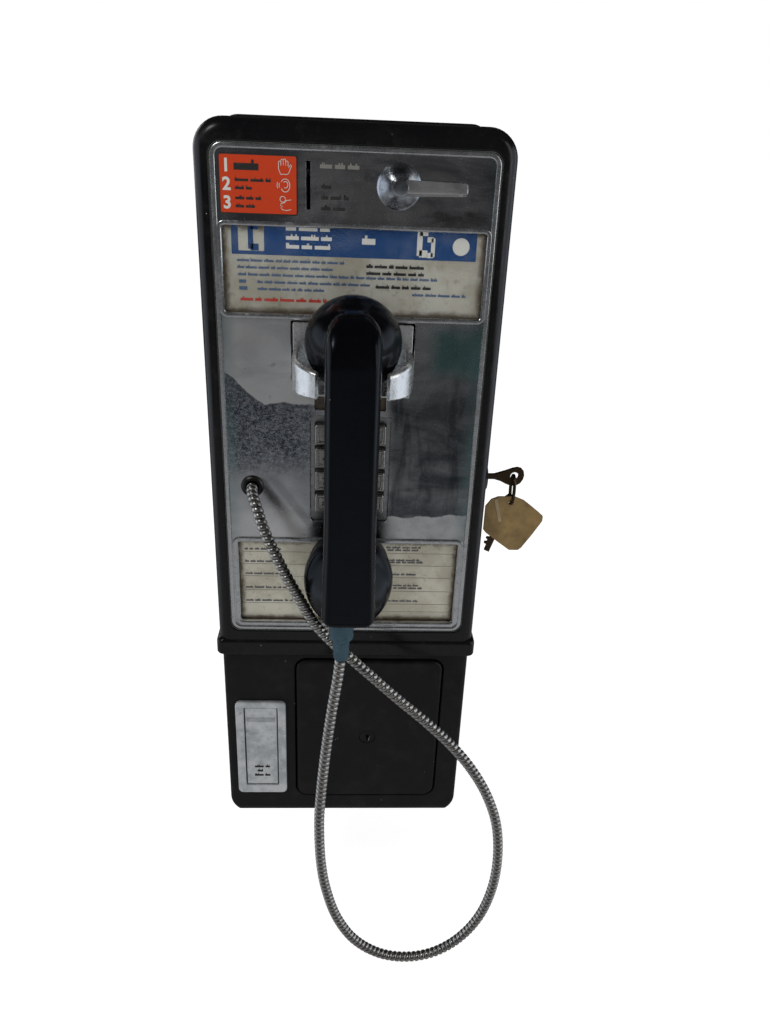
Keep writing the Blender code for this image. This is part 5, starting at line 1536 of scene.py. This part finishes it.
def make_boot():
    low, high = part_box("cord_boot")
    centre = ((low.x + high.x) / 2.0, (low.y + high.y) / 2.0, low.z)
    tall = high.z - low.z
    profile = [(0.0042, 0.0), (0.0046, 0.0002), (0.0049, 0.001), (0.0053, 0.003), (0.0056, 0.0148),
               (0.0059, 0.0156), (0.007, 0.0162), (0.0078, 0.0168), (0.0081, 0.0176), (0.0081, 0.0196),
               (0.0077, 0.0202), (0.0077, 0.021), (0.0081, 0.0216), (0.0082, tall - 0.0012),
               (0.008, tall - 0.0003), (0.0074, tall), (0.0, tall)]
    boot = lathe(profile, "z", centre)
    piece("cord_boot_rubber", boot, BOOT, "handset", "boot_rubber", "cord_boot", angle=50.0)


# --- back plate and what shows of the CAD itself ----------------------------------------------------
def make_back_plate():
    low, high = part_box("backplate")
    plate = panel(extent_of("backplate"), 0.015, high.y, low.y, 0.001, 10, back_edge=0.0006)
    holes = [rod("y", (x, 0.0, z), 0.02, 0.0042, 32) for x in (-0.0635, 0.0635) for z in (-0.205, 0.215)]
    holes.append(rod("y", (0.0, 0.0, 0.095), 0.02, 0.019, 48))
    grooves = [block((-0.07, high.y - 0.0008, z - 0.002), (0.07, high.y + 0.01, z + 0.002), 0.0006)
               for z in (-0.12, 0.02, 0.17)]
    piece("wall_plate", plate, DARK_STEEL, "base", "black_matte", "backplate", cuts=holes + grooves)


CAD_FINISHES = (
    (GALVANISED, "vault_liner coin_box coin_return_bucket coin_relay_frame ringer_frame hook_bracket"
                 " release_shaft release_spring hook_pivot_pin flap_hinge_pin"),
    (ZINC, "coin_acceptor coin_hopper receiver_unit transmitter_unit"),
    (COPPER, "coin_relay_coil"),
    (BRASS, "ringer_gong"),
    (PHENOLIC, "network_block keypad_switch_unit hookswitch"),
    (CARD, "upper_card"),
    (RATE_CARD, "lower_card"),
    (NUMBER_CARD, "number_card"),
    (FRAME_CHROME, "keypad_frame"),
    (CLEAR, "upper_card_window lower_card_window"),
)


def finish_cad_nodes():
    """Give the CAD nodes that stay on show their finishes, and round shading."""
    for finish, names in CAD_FINISHES:
        for name in names.split():
            mesh = NODES[name].data
            mesh.materials.clear()
            mesh.materials.append(finish)
            smooth(mesh, SMOOTH_ANGLE)


for make in (make_cord, make_cover, make_front_plate, make_upper_card, make_lower_card, make_placard,
             make_plate_print, make_keys, make_hook, make_release, make_cord_exit, make_lower_housing,
             make_vault, make_return_frame, make_return_flap, make_side_lock, make_key, make_tag,
             make_spare_key, make_shell, make_caps, make_boot, make_back_plate, finish_cad_nodes):
    make()


# --- floor, light and surroundings ----------------------------------------------------------------
FLOOR_Z = -0.42
FLOOR_GLOW = 0.5
FILL_LEVEL = 0.58               # what matt surfaces receive from all round
BACKDROP_LEVEL = 1.0
WINDOW_COLOUR = (0.8, 0.88, 1.0)
# Brightness from straight below (0) through the horizon (0.5) to straight above (1).
ROOM_LEVELS = ((0.0, 0.24), (0.28, 0.28), (0.36, 0.14), (0.44, 0.055), (0.5, 0.05), (0.6, 0.03), (1.0, 0.03))


def make_floor():
    shape = bmesh.new()
    bmesh.ops.create_grid(shape, x_segments=1, y_segments=1, size=6.0)
    shape.transform(Matrix.Translation((0.0, 0.0, FLOOR_Z)))
    f = Finish("pale_floor", (0.88, 0.88, 0.88), 0.85, Specular_IOR_Level=0.0, Emission_Strength=FLOOR_GLOW)
    f.start(f.noise(0.5, 3.0), (0.87, 0.87, 0.865), (0.9, 0.9, 0.895))
    f.rough = 0.85
    floor = make_object("floor", shape, f.done(), weighted=False)
    floor.visible_glossy = False


def area_light(name, place, aim, size, power):
    light = bpy.data.lights.new(name, "AREA")
    light.shape = "RECTANGLE"
    light.size, light.size_y = size
    light.energy = power
    item = bpy.data.objects.new(name, light)
    item.location = place
    item.rotation_mode = "QUATERNION"
    item.rotation_quaternion = (Vector(aim) - Vector(place)).to_track_quat("-Z", "Y")
    SCENE.collection.objects.link(item)


def make_world():
    """A pale backdrop and even fill, with a dim room and two tall side windows for reflections."""
    world = bpy.data.worlds.new("studio")
    world.use_nodes = True
    world.cycles.sampling_method = "NONE"
    SCENE.world = world
    w = Nodes(world.node_tree)
    direction = w.add("ShaderNodeTexCoord").outputs["Generated"]
    x, _, z = w.axes(direction)
    ramp = w.add("ShaderNodeValToRGB")
    w.put(w.plus(w.times(z, 0.5), 0.5), ramp.inputs["Fac"])
    elements = ramp.color_ramp.elements
    while len(elements) < len(ROOM_LEVELS):
        elements.new(0.5)
    for element, (place, level) in zip(elements, ROOM_LEVELS):
        element.position = place
        element.color = (level, level * 1.01, level * 1.04, 1.0)
    cloud = w.add("ShaderNodeTexNoise")
    cloud.inputs["Scale"].default_value = 3.0
    cloud.inputs["Detail"].default_value = 2.0
    w.put(direction, cloud.inputs["Vector"])
    room = w.add("ShaderNodeVectorMath", operation="SCALE")
    w.put(ramp.outputs["Color"], room.inputs[0])
    w.put(w.between(cloud.outputs["Fac"], 0.25, 0.75, 0.45, 1.5), room.inputs["Scale"])
    sideways = w.between(w.calc("ABSOLUTE", x), 0.78, 0.93)
    window = w.times(sideways, w.between(z, -0.6, -0.35), w.between(z, 0.5, 0.3))
    seen = w.mix(window, room.outputs[0], WINDOW_COLOUR)
    path = w.add("ShaderNodeLightPath")
    for ray, level in (("Is Diffuse Ray", FILL_LEVEL), ("Is Camera Ray", BACKDROP_LEVEL)):
        seen = w.mix(path.outputs[ray], seen, (level, level, level))
    w.put(seen, w.tree.nodes["Background"].inputs["Color"])


make_floor()
make_world()
area_light("key", (-0.9, -1.1, 1.3), (0.0, -0.1, 0.0), (0.35, 0.35), 5.0)
area_light("fill", (1.2, -0.9, 0.5), (0.0, -0.1, 0.0), (0.5, 1.2), 2.5)
area_light("rear_left", (-1.2, 1.0, 0.6), (0.0, -0.05, 0.0), (0.6, 1.0), 3.0)
SCENE.view_settings.view_transform = "Standard"
